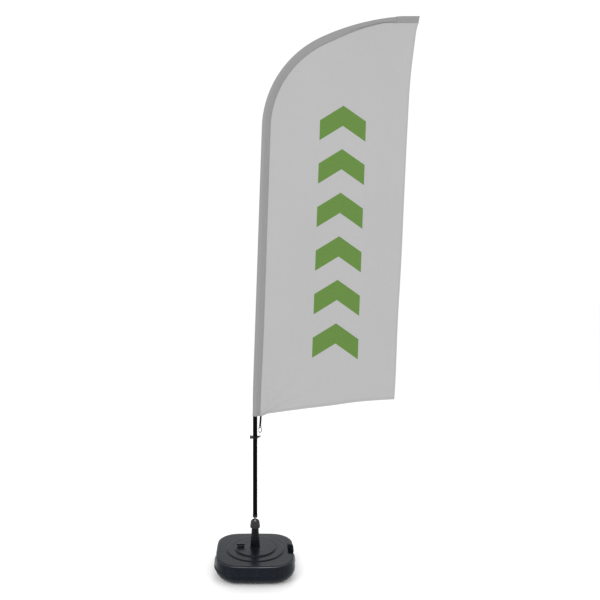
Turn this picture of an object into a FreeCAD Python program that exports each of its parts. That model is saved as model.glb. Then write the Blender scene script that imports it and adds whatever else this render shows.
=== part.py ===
import FreeCAD, Part
import math
import os
import Sketcher

# A feather flag 3.1 m tall on a water-filled base. Millimetres, +Z up, X towards the flag's free edge.
# The origin is on the floor, on the axis that the flag turns about.

doc = FreeCAD.newDocument("FeatherFlag")
sheet = doc.addObject("Spreadsheet::Sheet", "Sizes")
nodes = []


# ---------------------------------------------------------------- sizes kept in the sheet

class Size(float):
    """A number from the sheet that also carries the formula it came from."""

    def __new__(cls, value, formula):
        size = super().__new__(cls, value)
        size.formula = formula
        return size

    def __add__(self, other):
        return Size(float(self) + float(other), "(%s + %s)" % (formula(self), formula(other)))

    def __sub__(self, other):
        return Size(float(self) - float(other), "(%s - %s)" % (formula(self), formula(other)))

    def __mul__(self, other):
        return Size(float(self) * float(other), "(%s * %s)" % (formula(self), formula(other)))

    def __truediv__(self, other):
        return Size(float(self) / float(other), "(%s / %s)" % (formula(self), formula(other)))

    def __radd__(self, other):
        return Size(float(other) + float(self), "(%s + %s)" % (formula(other), formula(self)))

    def __rsub__(self, other):
        return Size(float(other) - float(self), "(%s - %s)" % (formula(other), formula(self)))

    def __rmul__(self, other):
        return Size(float(other) * float(self), "(%s * %s)" % (formula(other), formula(self)))

    def __neg__(self):
        return Size(-float(self), "(0 - %s)" % formula(self))


def formula(value):
    return value.formula if isinstance(value, Size) else repr(float(value))


def sine(degrees):
    return Size(math.sin(math.radians(degrees)), "sin(%s)" % formula(degrees))


def cosine(degrees):
    return Size(math.cos(math.radians(degrees)), "cos(%s)" % formula(degrees))


def root(value):
    return Size(math.sqrt(value), "sqrt(%s)" % formula(value))


class Sizes:
    """The driving dimensions, each one a named cell of the sheet."""

    def __init__(self, table):
        for row, (alias, value) in enumerate(table.items(), start=1):
            sheet.set("A%d" % row, alias.replace("_", " "))
            sheet.set("B%d" % row, str(value))
            sheet.setAlias("B%d" % row, alias)
            setattr(self, alias, Size(value, "Sizes." + alias))


s = Sizes({
    # tank
    "tank_foot_half": 184, "tank_widest_half": 220, "tank_crease_half": 216, "tank_deck_half": 194,
    "tank_widest_height": 58, "tank_crease_height": 101, "tank_deck_height": 106,
    "tank_crease_round": 3, "tank_side_bulge": 2200, "tank_corner": 126, "tank_wall": 3.5,
    "tank_foot_round": 16, "outer_step_radius": 163, "outer_step_height": 111,
    "inner_step_radius": 116, "inner_step_height": 117, "step_round": 3,
    "well_radius": 20.1, "well_floor": 36, "well_wall": 3.5,
    "grip_inner": 182, "grip_half_width": 60, "grip_floor": 58, "grip_corner": 12,
    "filler_offset": 81, "filler_neck_radius": 15, "filler_bore": 12.5, "filler_neck_height": 124,
    "water_gap": 0.4, "water_level": 92,
    # filler cap
    "seal_height": 1.5, "cap_radius": 19.5, "cap_skirt_bore": 15.3, "cap_crown": 3.5,
    "wing_length": 46, "wing_width": 9, "wing_height": 7,
    # stem and clamp
    "stem_foot_radius": 26.5, "stem_flange_radius": 30, "stem_flange": 3, "stem_top_radius": 19.5,
    "stem_shoulder": 226, "stem_thread_radius": 16.8, "stem_thread": 25, "stem_bore": 8.05,
    "nut_radius": 28, "nut_shoulder_radius": 25, "nut_foot_gap": 0.6, "nut_top": 268,
    "nut_thread_clearance": 0.2, "nut_mouth": 15.5, "nut_throat": 12.8, "nut_rib_count": 16,
    "nut_groove": 2.8,
    "collet_gap": 0.3, "collet_foot_radius": 15, "collet_top_radius": 12.4, "collet_height": 11,
    "collet_slot": 2,
    # spindle
    "shank_radius": 8, "shank_foot": 52, "shank_top": 262, "axle_radius": 4,
    "axle_shoulder_radius": 4.8, "axle_top": 415,
    "race_width": 5, "race_inner_outer": 5.3, "race_outer_inner": 6.7, "bearing_radius": 8,
    "ball_radius": 1.19, "ball_pitch_radius": 6, "groove_radius": 1.23, "ball_count": 9,
    "cage_inner": 5.5, "cage_outer": 6.5, "cage_width": 4, "cage_pocket": 1.26,
    "bearing_low": 291, "bearing_high": 405,
    "turning_foot": 275.5, "turning_foot_radius": 7, "turning_cone_radius": 10.5,
    "turning_flange_radius": 13.4, "turning_flange": 2, "turning_bore": 5.4, "pin_radius": 10.95,
    "pin_top": 430, "plug_depth": 12,
    # mast
    "pole_foot": 285, "pole_radius": 12.5, "pole_wall": 1.5, "bush_height": 14,
    "bush_radius": 13.6, "bush_wall": 1.1,
    "bend_start": 852, "lean_radius": 6000, "lean_angle": 1.94, "lean_run": 1425,
    "shoulder_bend_radius": 562, "shoulder_bend_angle": 65.19, "top_bend_radius": 1279.4,
    "tip_run": 2,
    "lower_pole_run": 359, "pole_overlap": 60, "middle_pole_radius": 10.95,
    "middle_pole_wall": 1.5, "rod_radius": 6, "ferrule_length": 70, "tip_cap_radius": 7.5,
    "tip_cap_length": 22,
    # flag
    "sleeve_radius": 14, "sleeve_cloth": 0.7, "sleeve_seam": 34, "sleeve_end_angle": 84.65,
    "panel_cloth": 1, "seam_gap": 0.2,
    "foot_wave_x": 112, "foot_wave_z": 871, "foot_corner_x": 784, "foot_corner_z": 945,
    "foot_mid_x": 561, "foot_mid_z": 930,
    "edge_bend_x": 858.3, "edge_bend_z": 2516, "edge_radius": 5044,
    "edge_top_x": 906, "edge_top_z": 3010, "edge_end_x": 918.5,
    "pocket_start": 799, "pocket_end": 926, "pocket_foot": 3062, "pocket_top": 3101,
    "pocket_depth": 18, "pocket_cloth": 1,
    # tension collar and its screw
    "collar_foot": 726, "collar_height": 14, "collar_bore": 12.6, "collar_radius": 16.5,
    "collar_chamfer": 1,
    "boss_radius": 6.8, "boss_end": 17.5, "screw_hole": 3.05, "screw_radius": 3, "screw_end": 27,
    "pad_radius": 2.95, "pad_start": 12.7, "pad_end": 14.2, "knob_start": 18.3, "knob_end": 29,
    "knob_radius": 10, "knob_lobe_count": 8, "knob_groove": 2.4,
    "lug_end": 33, "lug_half_height": 5.2, "lug_depth": 3.2, "lug_height": 737.5,
    "lug_hole_offset": 28, "lug_hole": 3, "link_slack": 0.3,
    # link, snap hook and strap
    "link_radius": 12, "link_wire": 1.1, "hook_offset": 28, "hook_wire": 2.2,
    "hook_half_width": 7, "hook_bottom": 759.5, "hook_straight": 14,
    "eye_half_width": 7.4, "eye_wire": 1.2, "eye_bend": 3,
    "gate_ear_radius": 2.9, "gate_ear": 1.1, "gate_gap": 1.2, "gate_wire": 1.1,
    "gate_pin_radius": 0.8, "gate_pin_hole": 0.85, "gate_clearance": 0.3,
    "strap_width": 11, "strap_depth": 2, "strap_top": 851.7,
})


# ---------------------------------------------------------------- tools for the sub-parts

def bind(thing, prop, value):
    """Ties a property to the sheet, or sets it where the value is a plain number."""
    if isinstance(value, Size):
        thing.setExpression(prop, value.formula)
    else:
        thing.setExpression(prop, repr(float(value)))


def new_body(label):
    body = doc.addObject("PartDesign::Body", label)
    body.Label = label
    return body


def keep(thing, label):
    """Marks a finished sub-part: its label is its file name."""
    thing.Label = label
    nodes.append(thing)
    return thing


def turn_about_y(angle):
    turn = FreeCAD.Rotation(FreeCAD.Vector(0, 1, 0), angle)
    return FreeCAD.Placement(FreeCAD.Vector(0, 0, 0), turn)


def origin_plane(body, role):
    return next(plane for plane in body.Origin.OriginFeatures if plane.Role == role)


def new_sketch(body, name, role="XZ_Plane", offset=0.0):
    sketch = body.newObject("Sketcher::SketchObject", name)
    sketch.AttachmentSupport = [(origin_plane(body, role), "")]
    sketch.MapMode = "FlatFace"
    bind(sketch, "AttachmentOffset.Base.z", offset)
    return sketch


def pin_point(sketch, edge, end, x, y):
    """Fixes a point's two coordinates by constraints tied to the sheet."""
    for kind, value in (("DistanceX", x), ("DistanceY", y)):
        index = sketch.addConstraint(Sketcher.Constraint(kind, -1, 1, edge, end, float(value)))
        bind(sketch, "Constraints[%d]" % index, value)


def arc_between(start, finish, radius):
    """The short arc between two points: a positive radius turns left, a negative one turns right."""
    across = finish - start
    half = across.Length / 2
    rise = math.sqrt(max(abs(radius) ** 2 - half ** 2, 0))
    left = FreeCAD.Vector(-across.y, across.x, 0).normalize()
    centre = start + across * 0.5 + left * (rise if radius > 0 else -rise)
    first, last = (start, finish) if radius > 0 else (finish, start)
    begin = math.atan2(first.y - centre.y, first.x - centre.x)
    end = math.atan2(last.y - centre.y, last.x - centre.x)
    circle = Part.Circle(centre, FreeCAD.Vector(0, 0, 1), abs(float(radius)))
    return Part.ArcOfCircle(circle, begin, end)


def draw(sketch, corners, closed=True):
    """Joins corners (x, y) with lines. A corner (x, y, radius) starts an arc to the next one."""
    base = sketch.GeometryCount
    points = [FreeCAD.Vector(corner[0], corner[1], 0) for corner in corners]
    edge_count = len(corners) if closed else len(corners) - 1
    ends = []
    for index in range(edge_count):
        start = points[index]
        finish = points[(index + 1) % len(points)]
        edge = base + index
        if len(corners[index]) == 3:
            radius = corners[index][2]
            sketch.addGeometry(arc_between(start, finish, radius))
            turn = sketch.addConstraint(Sketcher.Constraint("Radius", edge, abs(float(radius))))
            bind(sketch, "Constraints[%d]" % turn, radius if radius > 0 else -radius)
            ends.append((1, 2) if radius > 0 else (2, 1))
        else:
            sketch.addGeometry(Part.LineSegment(start, finish))
            ends.append((1, 2))
    for index in range(edge_count):
        pin_point(sketch, base + index, ends[index][0], corners[index][0], corners[index][1])
        following = index + 1
        if following == edge_count and not closed:
            pin_point(sketch, base + index, ends[index][1], corners[-1][0], corners[-1][1])
            continue
        following = following % edge_count
        sketch.addConstraint(Sketcher.Constraint(
            "Coincident", base + index, ends[index][1], base + following, ends[following][0]))
    return sketch


def draw_circle(sketch, x, y, radius):
    edge = sketch.GeometryCount
    middle = FreeCAD.Vector(x, y, 0)
    sketch.addGeometry(Part.Circle(middle, FreeCAD.Vector(0, 0, 1), float(radius)))
    pin_point(sketch, edge, 3, x, y)
    index = sketch.addConstraint(Sketcher.Constraint("Radius", edge, float(radius)))
    bind(sketch, "Constraints[%d]" % index, radius)
    return sketch


def revolve(body, name, corners):
    """Turns a half outline (radius, height) about the vertical axis."""
    sketch = draw(new_sketch(body, name + "_outline"), corners)
    turned = body.newObject("PartDesign::Revolution", name)
    turned.Profile = sketch
    turned.ReferenceAxis = (sketch, ["V_Axis"])
    turned.Angle = 360
    return turned


def pad(body, name, sketch, length, both_ways=False, backwards=False):
    solid = body.newObject("PartDesign::Pad", name)
    solid.Profile = sketch
    bind(solid, "Length", length)
    solid.SideType = "Symmetric" if both_ways else "One side"
    solid.Reversed = backwards
    return solid


def pocket(body, name, sketch, length, both_ways=False, backwards=False):
    doc.recompute()
    before = body.Shape.Volume
    hollow = body.newObject("PartDesign::Pocket", name)
    hollow.Profile = sketch
    bind(hollow, "Length", length)
    hollow.SideType = "Symmetric" if both_ways else "One side"
    hollow.Reversed = backwards
    doc.recompute()
    if hollow.Shape.Volume >= before:
        raise RuntimeError(name + " cuts nothing")
    return hollow


def repeat_about(body, name, feature, plane_sketch, count):
    """Repeats a feature evenly about the sketch's normal axis."""
    pattern = body.newObject("PartDesign::PolarPattern", name)
    pattern.Originals = [feature]
    pattern.Axis = (plane_sketch, ["N_Axis"])
    pattern.Angle = 360
    bind(pattern, "Occurrences", count)
    body.Tip = pattern
    return pattern


def sweep(body, name, path_corners, sections):
    """Sweeps closed section outlines along a path in the XZ plane, square to its start."""
    path = draw(new_sketch(body, name + "_path"), path_corners, closed=False)
    doc.recompute()
    profile = body.newObject("Sketcher::SketchObject", name + "_section")
    profile.AttachmentSupport = [(path, "Edge1")]
    profile.MapMode = "NormalToEdge"
    profile.MapPathParameter = 0
    for section in sections:
        section(profile)
    pipe = body.newObject("PartDesign::AdditivePipe", name)
    pipe.Profile = profile
    pipe.Spine = (path, ["Edge%d" % (number + 1) for number in range(len(path_corners) - 1)])
    return pipe


# ---------------------------------------------------------------- tank

def rounded_square(half, corner):
    """A square with bulged sides and round corners, all tangent, drawn counter-clockwise."""
    bulge = s.tank_side_bulge
    side = bulge - half
    reach = bulge - corner
    middle = (root(2 * reach * reach - side * side) - side) / 2
    near = middle * bulge / reach
    far = (side + middle) * bulge / reach - side
    corners = []
    for turn in range(4):
        for x, y, radius in ((-near, -far, bulge), (near, -far, corner)):
            for quarter in range(turn):
                x, y = -y, x
            corners.append((x, y, radius))
    return corners


def foot_levels(inset):
    """Levels round the tank's bottom edge: (height, half width)."""
    levels = []
    for angle in (0, 30, 60, 90):
        height = s.tank_foot_round * (1 - cosine(angle)) + inset * cosine(angle)
        half = s.tank_foot_half - inset - (s.tank_foot_round - inset) * (1 - sine(angle))
        levels.append((height, half))
    levels.append((s.tank_widest_height, s.tank_widest_half - inset))
    return levels


def deck_levels(inset):
    """Levels from the rounded crease to the edge of the deck."""
    crease = s.tank_crease_half - inset
    return [
        (s.tank_crease_height - inset - s.tank_crease_round, crease),
        (s.tank_crease_height - inset, crease - s.tank_crease_round),
        (s.tank_deck_height - inset, s.tank_deck_half - inset),
    ]


def stacked_squares(body, levels):
    """A block lofted straight from each level's rounded square to the next."""
    sketches = []
    for number, (height, half) in enumerate(levels):
        sketch = new_sketch(body, "%s_level_%d" % (body.Name, number), "XY_Plane", height)
        corner = s.tank_corner - (s.tank_widest_half - half)
        sketches.append(draw(sketch, rounded_square(half, corner)))
    loft = body.newObject("PartDesign::AdditiveLoft", body.Name + "_block")
    loft.Profile = sketches[0]
    loft.Sections = sketches[1:]
    loft.Ruled = True
    return loft


def grip_outline(margin):
    """The hand grip's notch, open past the tank's edge."""
    inner = s.grip_inner - margin
    half = s.grip_half_width + margin
    corner = s.grip_corner
    outer = s.tank_widest_half + 10
    return [
        (outer, -half), (outer, half), (inner + corner, half, corner),
        (inner, half - corner), (inner, -(half - corner), corner), (inner + corner, -half),
    ]


def round_step(body, name, radius, foot, top):
    sketch = new_sketch(body, name + "_circle", "XY_Plane", foot)
    draw_circle(sketch, 0, 0, radius)
    return pad(body, name, sketch, top - foot)


def build_tank():
    shell = new_body("tank_outside")
    stacked_squares(shell, foot_levels(0) + deck_levels(0))
    steps_foot = s.tank_crease_height - 10
    bend = s.step_round
    revolve(shell, "deck_steps", [
        (0, steps_foot), (s.outer_step_radius, steps_foot),
        (s.outer_step_radius, s.outer_step_height - bend, bend),
        (s.outer_step_radius - bend, s.outer_step_height),
        (s.inner_step_radius, s.outer_step_height),
        (s.inner_step_radius, s.inner_step_height - bend, bend),
        (s.inner_step_radius - bend, s.inner_step_height), (0, s.inner_step_height),
    ])
    sketch = new_sketch(shell, "filler_neck_circle", "XY_Plane", s.inner_step_height - 2)
    draw_circle(sketch, -s.filler_offset, 0, s.filler_neck_radius)
    pad(shell, "filler_neck", sketch, s.filler_neck_height - s.inner_step_height + 2)
    sketch = new_sketch(shell, "well_circle", "XY_Plane", s.inner_step_height)
    draw_circle(sketch, 0, 0, s.well_radius)
    pocket(shell, "well", sketch, s.inner_step_height - s.well_floor)
    sketch = draw(new_sketch(shell, "grip_outline", "XY_Plane", s.tank_deck_height + 5),
                  grip_outline(0))
    pocket(shell, "grip", sketch, s.tank_deck_height + 5 - s.grip_floor)

    hollow = new_body("tank_inside")
    wall = s.tank_wall
    stacked_squares(hollow, foot_levels(wall) + deck_levels(wall))
    round_step(hollow, "inside_step", s.inner_step_radius - wall, steps_foot,
               s.inner_step_height - wall)
    cut_round_well(hollow, s.well_wall)
    sketch = new_sketch(hollow, "filler_bore_circle", "XY_Plane", s.inner_step_height - 10)
    draw_circle(sketch, -s.filler_offset, 0, s.filler_bore)
    pad(hollow, "filler_bore", sketch, 30)

    tank = doc.addObject("Part::Cut", "base_tank")
    tank.Base = shell
    tank.Tool = hollow
    keep(tank, "base_tank")


def cut_round_well(body, margin):
    """Leaves room round the stem's well and the grip's notch."""
    sketch = new_sketch(body, body.Name + "_well", "XY_Plane", s.inner_step_height)
    draw_circle(sketch, 0, 0, s.well_radius + margin)
    pocket(body, body.Name + "_well_room", sketch, s.inner_step_height)
    sketch = draw(new_sketch(body, body.Name + "_grip", "XY_Plane", s.inner_step_height),
                  grip_outline(margin))
    pocket(body, body.Name + "_grip_room", sketch,
           s.inner_step_height - s.grip_floor + margin)


def build_water():
    """The water filling, a little clear of the tank's inside."""
    water = new_body("water_ballast")
    margin = s.tank_wall + s.water_gap
    top = (s.water_level, s.tank_crease_half - margin)
    stacked_squares(water, foot_levels(margin) + [top])
    cut_round_well(water, s.well_wall + s.water_gap)
    keep(water, "water_ballast")


# ---------------------------------------------------------------- filler cap

def build_filler_cap():
    seal_foot = s.filler_neck_height
    seal_top = seal_foot + s.seal_height
    seal = new_body("filler_seal")
    revolve(seal, "seal_ring", [
        (s.filler_bore, seal_foot), (s.filler_neck_radius, seal_foot),
        (s.filler_neck_radius, seal_top), (s.filler_bore, seal_top),
    ])
    bind(seal, "Placement.Base.x", -s.filler_offset)
    keep(seal, "filler_seal")

    cap = new_body("filler_cap")
    skirt_foot = s.inner_step_height + 0.6
    crown = seal_top + s.cap_crown
    revolve(cap, "cap_shell", [
        (0, seal_top), (s.cap_skirt_bore, seal_top), (s.cap_skirt_bore, skirt_foot),
        (s.cap_radius, skirt_foot), (s.cap_radius, crown - 2, 2), (s.cap_radius - 2, crown),
        (0, crown),
    ])
    half = s.wing_length / 2
    side = s.wing_width / 2
    sketch = new_sketch(cap, "wing_outline", "XY_Plane", crown - 1)
    draw(sketch, [
        (-(half - side), -side), (half - side, -side, side), (half, 0, side),
        (half - side, side), (-(half - side), side, side), (-half, 0, side),
    ])
    pad(cap, "wing", sketch, s.wing_height)
    bind(cap, "Placement.Base.x", -s.filler_offset)
    keep(cap, "filler_cap")


# ---------------------------------------------------------------- stem and clamp

def build_stem():
    stem = new_body("base_stem")
    deck = s.inner_step_height
    spigot = s.well_radius - 0.1
    thread_top = s.stem_shoulder + s.stem_thread
    revolve(stem, "stem_outline", [
        (s.stem_bore, s.shank_foot - 1), (0, s.shank_foot - 1), (0, s.well_floor + 0.5),
        (spigot, s.well_floor + 0.5), (spigot, deck), (s.stem_flange_radius, deck),
        (s.stem_flange_radius, deck + s.stem_flange), (s.stem_foot_radius, deck + s.stem_flange + 3),
        (s.stem_top_radius, s.stem_shoulder), (s.stem_thread_radius, s.stem_shoulder),
        (s.stem_thread_radius, thread_top), (s.stem_bore, thread_top),
    ])
    keep(stem, "base_stem")


def build_clamp():
    foot = s.stem_shoulder + s.stem_thread + s.collet_gap
    collet = new_body("clamp_collet")
    top = foot + s.collet_height
    ring = [
        (s.stem_bore, foot), (s.collet_foot_radius, foot), (s.collet_top_radius, top - 3),
        (s.collet_top_radius - 1, top), (s.stem_bore, top),
    ]
    revolve(collet, "collet_ring", ring)
    sketch = new_sketch(collet, "collet_slot_outline", "XY_Plane", top)
    edge = s.collet_slot / 2
    draw(sketch, [(0, -edge), (s.collet_foot_radius + 2, -edge), (s.collet_foot_radius + 2, edge),
                  (0, edge)])
    slot = pocket(collet, "collet_slot_cut", sketch, s.collet_height - 4)
    repeat_about(collet, "collet_slots", slot, sketch, 4)
    keep(collet, "clamp_collet")

    nut = new_body("clamp_nut")
    bottom = s.stem_shoulder + s.nut_foot_gap
    bore = s.stem_thread_radius + s.nut_thread_clearance
    dome = s.nut_top - 11
    revolve(nut, "nut_shell", [
        (bore, bottom), (s.nut_radius - 2, bottom), (s.nut_radius, bottom + 2),
        (s.nut_radius, bottom + 8), (s.nut_shoulder_radius, dome, 12),
        (s.nut_mouth + 4, s.nut_top - 1, 3), (s.nut_mouth, s.nut_top - 1.5),
        (s.nut_throat, top - 3), (s.collet_foot_radius + 0.4, foot + 0.2), (bore, foot),
    ])
    sketch = new_sketch(nut, "nut_groove_circle", "XY_Plane", s.nut_top + 1)
    draw_circle(sketch, s.nut_radius + 0.9, 0, s.nut_groove)
    groove = pocket(nut, "nut_groove_cut", sketch, s.nut_top + 1 - bottom - 5)
    repeat_about(nut, "nut_grooves", groove, sketch, s.nut_rib_count)
    keep(nut, "clamp_nut")


# ---------------------------------------------------------------- spindle

def build_shank():
    shank = new_body("spindle_shank")
    revolve(shank, "shank_outline", [
        (0, s.shank_foot), (s.shank_radius - 1, s.shank_foot), (s.shank_radius, s.shank_foot + 1),
        (s.shank_radius, s.shank_top), (s.axle_shoulder_radius, s.shank_top + 3),
        (s.axle_shoulder_radius, s.bearing_low), (s.axle_radius, s.bearing_low),
        (s.axle_radius, s.axle_top), (0, s.axle_top),
    ])
    keep(shank, "spindle_shank")


def ring_body(label, inner, outer, foot, top):
    body = new_body(label)
    revolve(body, label + "_ring", [(inner, foot), (outer, foot), (outer, top), (inner, top)])
    return body


def race(label, groove_side, plain_side, foot):
    """One bearing race with its ball groove; the groove faces the balls' circle."""
    body = new_body(label)
    top = foot + s.race_width
    middle = foot + s.race_width / 2
    reach = s.ball_pitch_radius - groove_side
    half = root(s.groove_radius * s.groove_radius - reach * reach)
    inner_race = groove_side < s.ball_pitch_radius
    turn = s.groove_radius if inner_race else -s.groove_radius
    low = (groove_side, middle - half, -turn)
    high = (groove_side, middle + half)
    revolve(body, label + "_ring", [
        (plain_side, foot), (groove_side, foot), low, high, (groove_side, top), (plain_side, top),
    ])
    return body


def group(label, members):
    compound = doc.addObject("Part::Compound", label)
    compound.Links = members
    return keep(compound, label)


def ball_circle(label, radius, height):
    """A ring of balls on the pitch circle of one bearing."""
    balls = []
    step = 360 / int(s.ball_count)
    for number in range(int(s.ball_count)):
        ball = doc.addObject("Part::Sphere", "%s_%d" % (label, number))
        bind(ball, "Radius", radius)
        bind(ball, "Placement.Base.x", s.ball_pitch_radius * cosine(step * number))
        bind(ball, "Placement.Base.y", s.ball_pitch_radius * sine(step * number))
        bind(ball, "Placement.Base.z", height)
        balls.append(ball)
    return balls


def crown_cage(label, middle):
    """A ring below the balls with a post between each pair."""
    top = middle + s.cage_width / 4
    cage = ring_body(label, s.cage_inner, s.cage_outer, middle - s.cage_width / 2, top)
    sketch = new_sketch(cage, label + "_pocket_circle", "XY_Plane", top)
    draw_circle(sketch, s.ball_pitch_radius, 0, s.cage_pocket)
    seat = pocket(cage, label + "_pocket", sketch, top - middle + s.cage_pocket)
    repeat_about(cage, label + "_pockets", seat, sketch, s.ball_count)
    return cage


def build_bearings():
    inner, outer, balls, cages = [], [], [], []
    for place, foot in (("low", s.bearing_low), ("high", s.bearing_high)):
        middle = foot + s.race_width / 2
        inner.append(race("inner_race_" + place, s.race_inner_outer, s.axle_radius, foot))
        outer.append(race("outer_race_" + place, s.race_outer_inner, s.bearing_radius, foot))
        balls += ball_circle("ball_" + place, s.ball_radius, middle)
        cages.append(crown_cage("cage_" + place, middle))
    group("bearing_inner_races", inner)
    group("bearing_outer_races", outer)
    group("bearing_balls", balls)
    group("bearing_cages", cages)
    spacer_foot = s.bearing_low + s.race_width
    clip_foot = s.bearing_high + s.race_width
    keep(ring_body("inner_spacer", s.axle_radius, s.axle_radius + 1, spacer_foot, s.bearing_high),
         "inner_spacer")
    keep(ring_body("outer_spacer", s.bearing_radius - 1, s.bearing_radius, spacer_foot,
                   s.bearing_high), "outer_spacer")
    keep(ring_body("axle_circlip", s.axle_radius, s.axle_radius + 1.4, clip_foot, clip_foot + 1),
         "axle_circlip")


def build_turning_sleeve():
    sleeve = new_body("turning_sleeve")
    cone_top = s.pole_foot - s.turning_flange
    revolve(sleeve, "sleeve_shell", [
        (s.turning_bore, s.turning_foot), (s.turning_foot_radius, s.turning_foot),
        (s.turning_cone_radius, cone_top), (s.turning_flange_radius, cone_top),
        (s.turning_flange_radius, s.pole_foot), (s.pin_radius, s.pole_foot),
        (s.pin_radius, s.pin_top - 2), (s.pin_radius - 2, s.pin_top),
        (s.bearing_radius, s.pin_top), (s.bearing_radius, s.bearing_low),
        (s.turning_bore, s.bearing_low),
    ])
    keep(sleeve, "turning_sleeve")
    plug = new_body("sleeve_plug")
    revolve(plug, "plug_outline", [
        (0, s.pin_top - s.plug_depth), (s.bearing_radius, s.pin_top - s.plug_depth),
        (s.bearing_radius, s.pin_top), (s.bearing_radius - 2, s.pin_top + 1), (0, s.pin_top + 1),
    ])
    keep(plug, "sleeve_plug")


# ---------------------------------------------------------------- mast

def beside(point, heading, shift):
    """A point moved square to the mast line, towards the flag."""
    return (point[0] + shift * cosine(heading), point[1] - shift * sine(heading))


def arc_end(point, radius, start_heading, end_heading):
    """Where a bend of the mast line ends. Headings are measured from upright."""
    return (point[0] + radius * (cosine(start_heading) - cosine(end_heading)),
            point[1] + radius * (sine(end_heading) - sine(start_heading)))


def along(point, heading, distance):
    return (point[0] + distance * sine(heading), point[1] + distance * cosine(heading))


BEND_START = (0, s.bend_start)
LEAN_START = arc_end(BEND_START, s.lean_radius, 0, s.lean_angle)
LEAN_END = along(LEAN_START, s.lean_angle, s.lean_run)
SHOULDER_END = arc_end(LEAN_END, s.shoulder_bend_radius, s.lean_angle, s.shoulder_bend_angle)
TIP_BEND_END = arc_end(SHOULDER_END, s.top_bend_radius, s.shoulder_bend_angle, 90)
SLEEVE_END = arc_end(SHOULDER_END, s.top_bend_radius, s.shoulder_bend_angle, s.sleeve_end_angle)


def tube_section(outer, inner):
    def add(sketch):
        draw_circle(sketch, 0, 0, outer)
        if inner:
            draw_circle(sketch, 0, 0, inner)
    return [add]


def build_poles():
    bush = new_body("pole_end_bush")
    revolve(bush, "bush_shell", [
        (s.pole_radius, s.pole_foot), (s.bush_radius, s.pole_foot),
        (s.bush_radius, s.pole_foot + s.bush_height - 1),
        (s.bush_radius - s.bush_wall, s.pole_foot + s.bush_height),
    ])
    keep(bush, "pole_end_bush")

    lower = new_body("pole_lower")
    lower_end = along(LEAN_START, s.lean_angle, s.lower_pole_run)
    sweep(lower, "lower_tube", [
        (0, s.pole_foot), (0, s.bend_start, -s.lean_radius), LEAN_START, lower_end,
    ], tube_section(s.pole_radius, s.pole_radius - s.pole_wall))
    keep(lower, "pole_lower")

    middle = new_body("pole_middle")
    middle_start = along(LEAN_START, s.lean_angle, s.lower_pole_run - s.pole_overlap)
    sweep(middle, "middle_tube", [middle_start, LEAN_END],
          tube_section(s.middle_pole_radius, s.middle_pole_radius - s.middle_pole_wall))
    keep(middle, "pole_middle")

    rod_start = along(LEAN_END, s.lean_angle, -s.ferrule_length)
    ferrule = new_body("top_ferrule")
    ferrule_radius = s.middle_pole_radius - s.middle_pole_wall - 0.05
    sweep(ferrule, "ferrule_tube", [rod_start, LEAN_END],
          tube_section(ferrule_radius, s.rod_radius + 0.05))
    keep(ferrule, "top_ferrule")

    rod = new_body("top_rod")
    tip = (TIP_BEND_END[0] + s.tip_run, TIP_BEND_END[1])
    sweep(rod, "rod_length", [
        rod_start, (LEAN_END[0], LEAN_END[1], -s.shoulder_bend_radius),
        (SHOULDER_END[0], SHOULDER_END[1], -s.top_bend_radius), TIP_BEND_END, tip,
    ], tube_section(s.rod_radius, 0))
    keep(rod, "top_rod")


def build_tip_cap():
    """The plastic cap on the rod's end, turned about its own axis and laid level."""
    cap = new_body("tip_cap")
    hole = s.rod_radius + 0.3
    revolve(cap, "tip_cap_shell", [
        (hole, -(s.tip_cap_length - 4)), (s.tip_cap_radius, -(s.tip_cap_length - 4)),
        (s.tip_cap_radius, 1, 3), (s.tip_cap_radius - 3, 4), (0, 4), (0, 0.2), (hole, 0.2),
    ])
    cap.Placement = turn_about_y(90)
    bind(cap, "Placement.Base.x", TIP_BEND_END[0] + s.tip_run)
    bind(cap, "Placement.Base.z", TIP_BEND_END[1])
    keep(cap, "tip_cap")


# ---------------------------------------------------------------- flag

def drop_section(radius, seam):
    """A round loop about the pole that draws in to a seam; the seam side faces the flag."""
    def add(sketch):
        touch_x = radius * radius / seam
        touch_y = root(radius * radius - touch_x * touch_x)
        draw(sketch, [
            (0, -seam), (touch_y, -touch_x, radius), (0, radius, radius), (-touch_y, -touch_x),
        ])
    return add


def build_sleeve():
    sleeve = new_body("flag_sleeve")
    inner_radius = s.sleeve_radius - s.sleeve_cloth
    inner_seam = s.sleeve_seam * inner_radius / s.sleeve_radius
    sweep(sleeve, "sleeve_cloth_tube", [
        (0, s.bend_start, -s.lean_radius), LEAN_START,
        (LEAN_END[0], LEAN_END[1], -s.shoulder_bend_radius),
        (SHOULDER_END[0], SHOULDER_END[1], -s.top_bend_radius), SLEEVE_END,
    ], [drop_section(s.sleeve_radius, s.sleeve_seam), drop_section(inner_radius, inner_seam)])
    keep(sleeve, "flag_sleeve")


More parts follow.
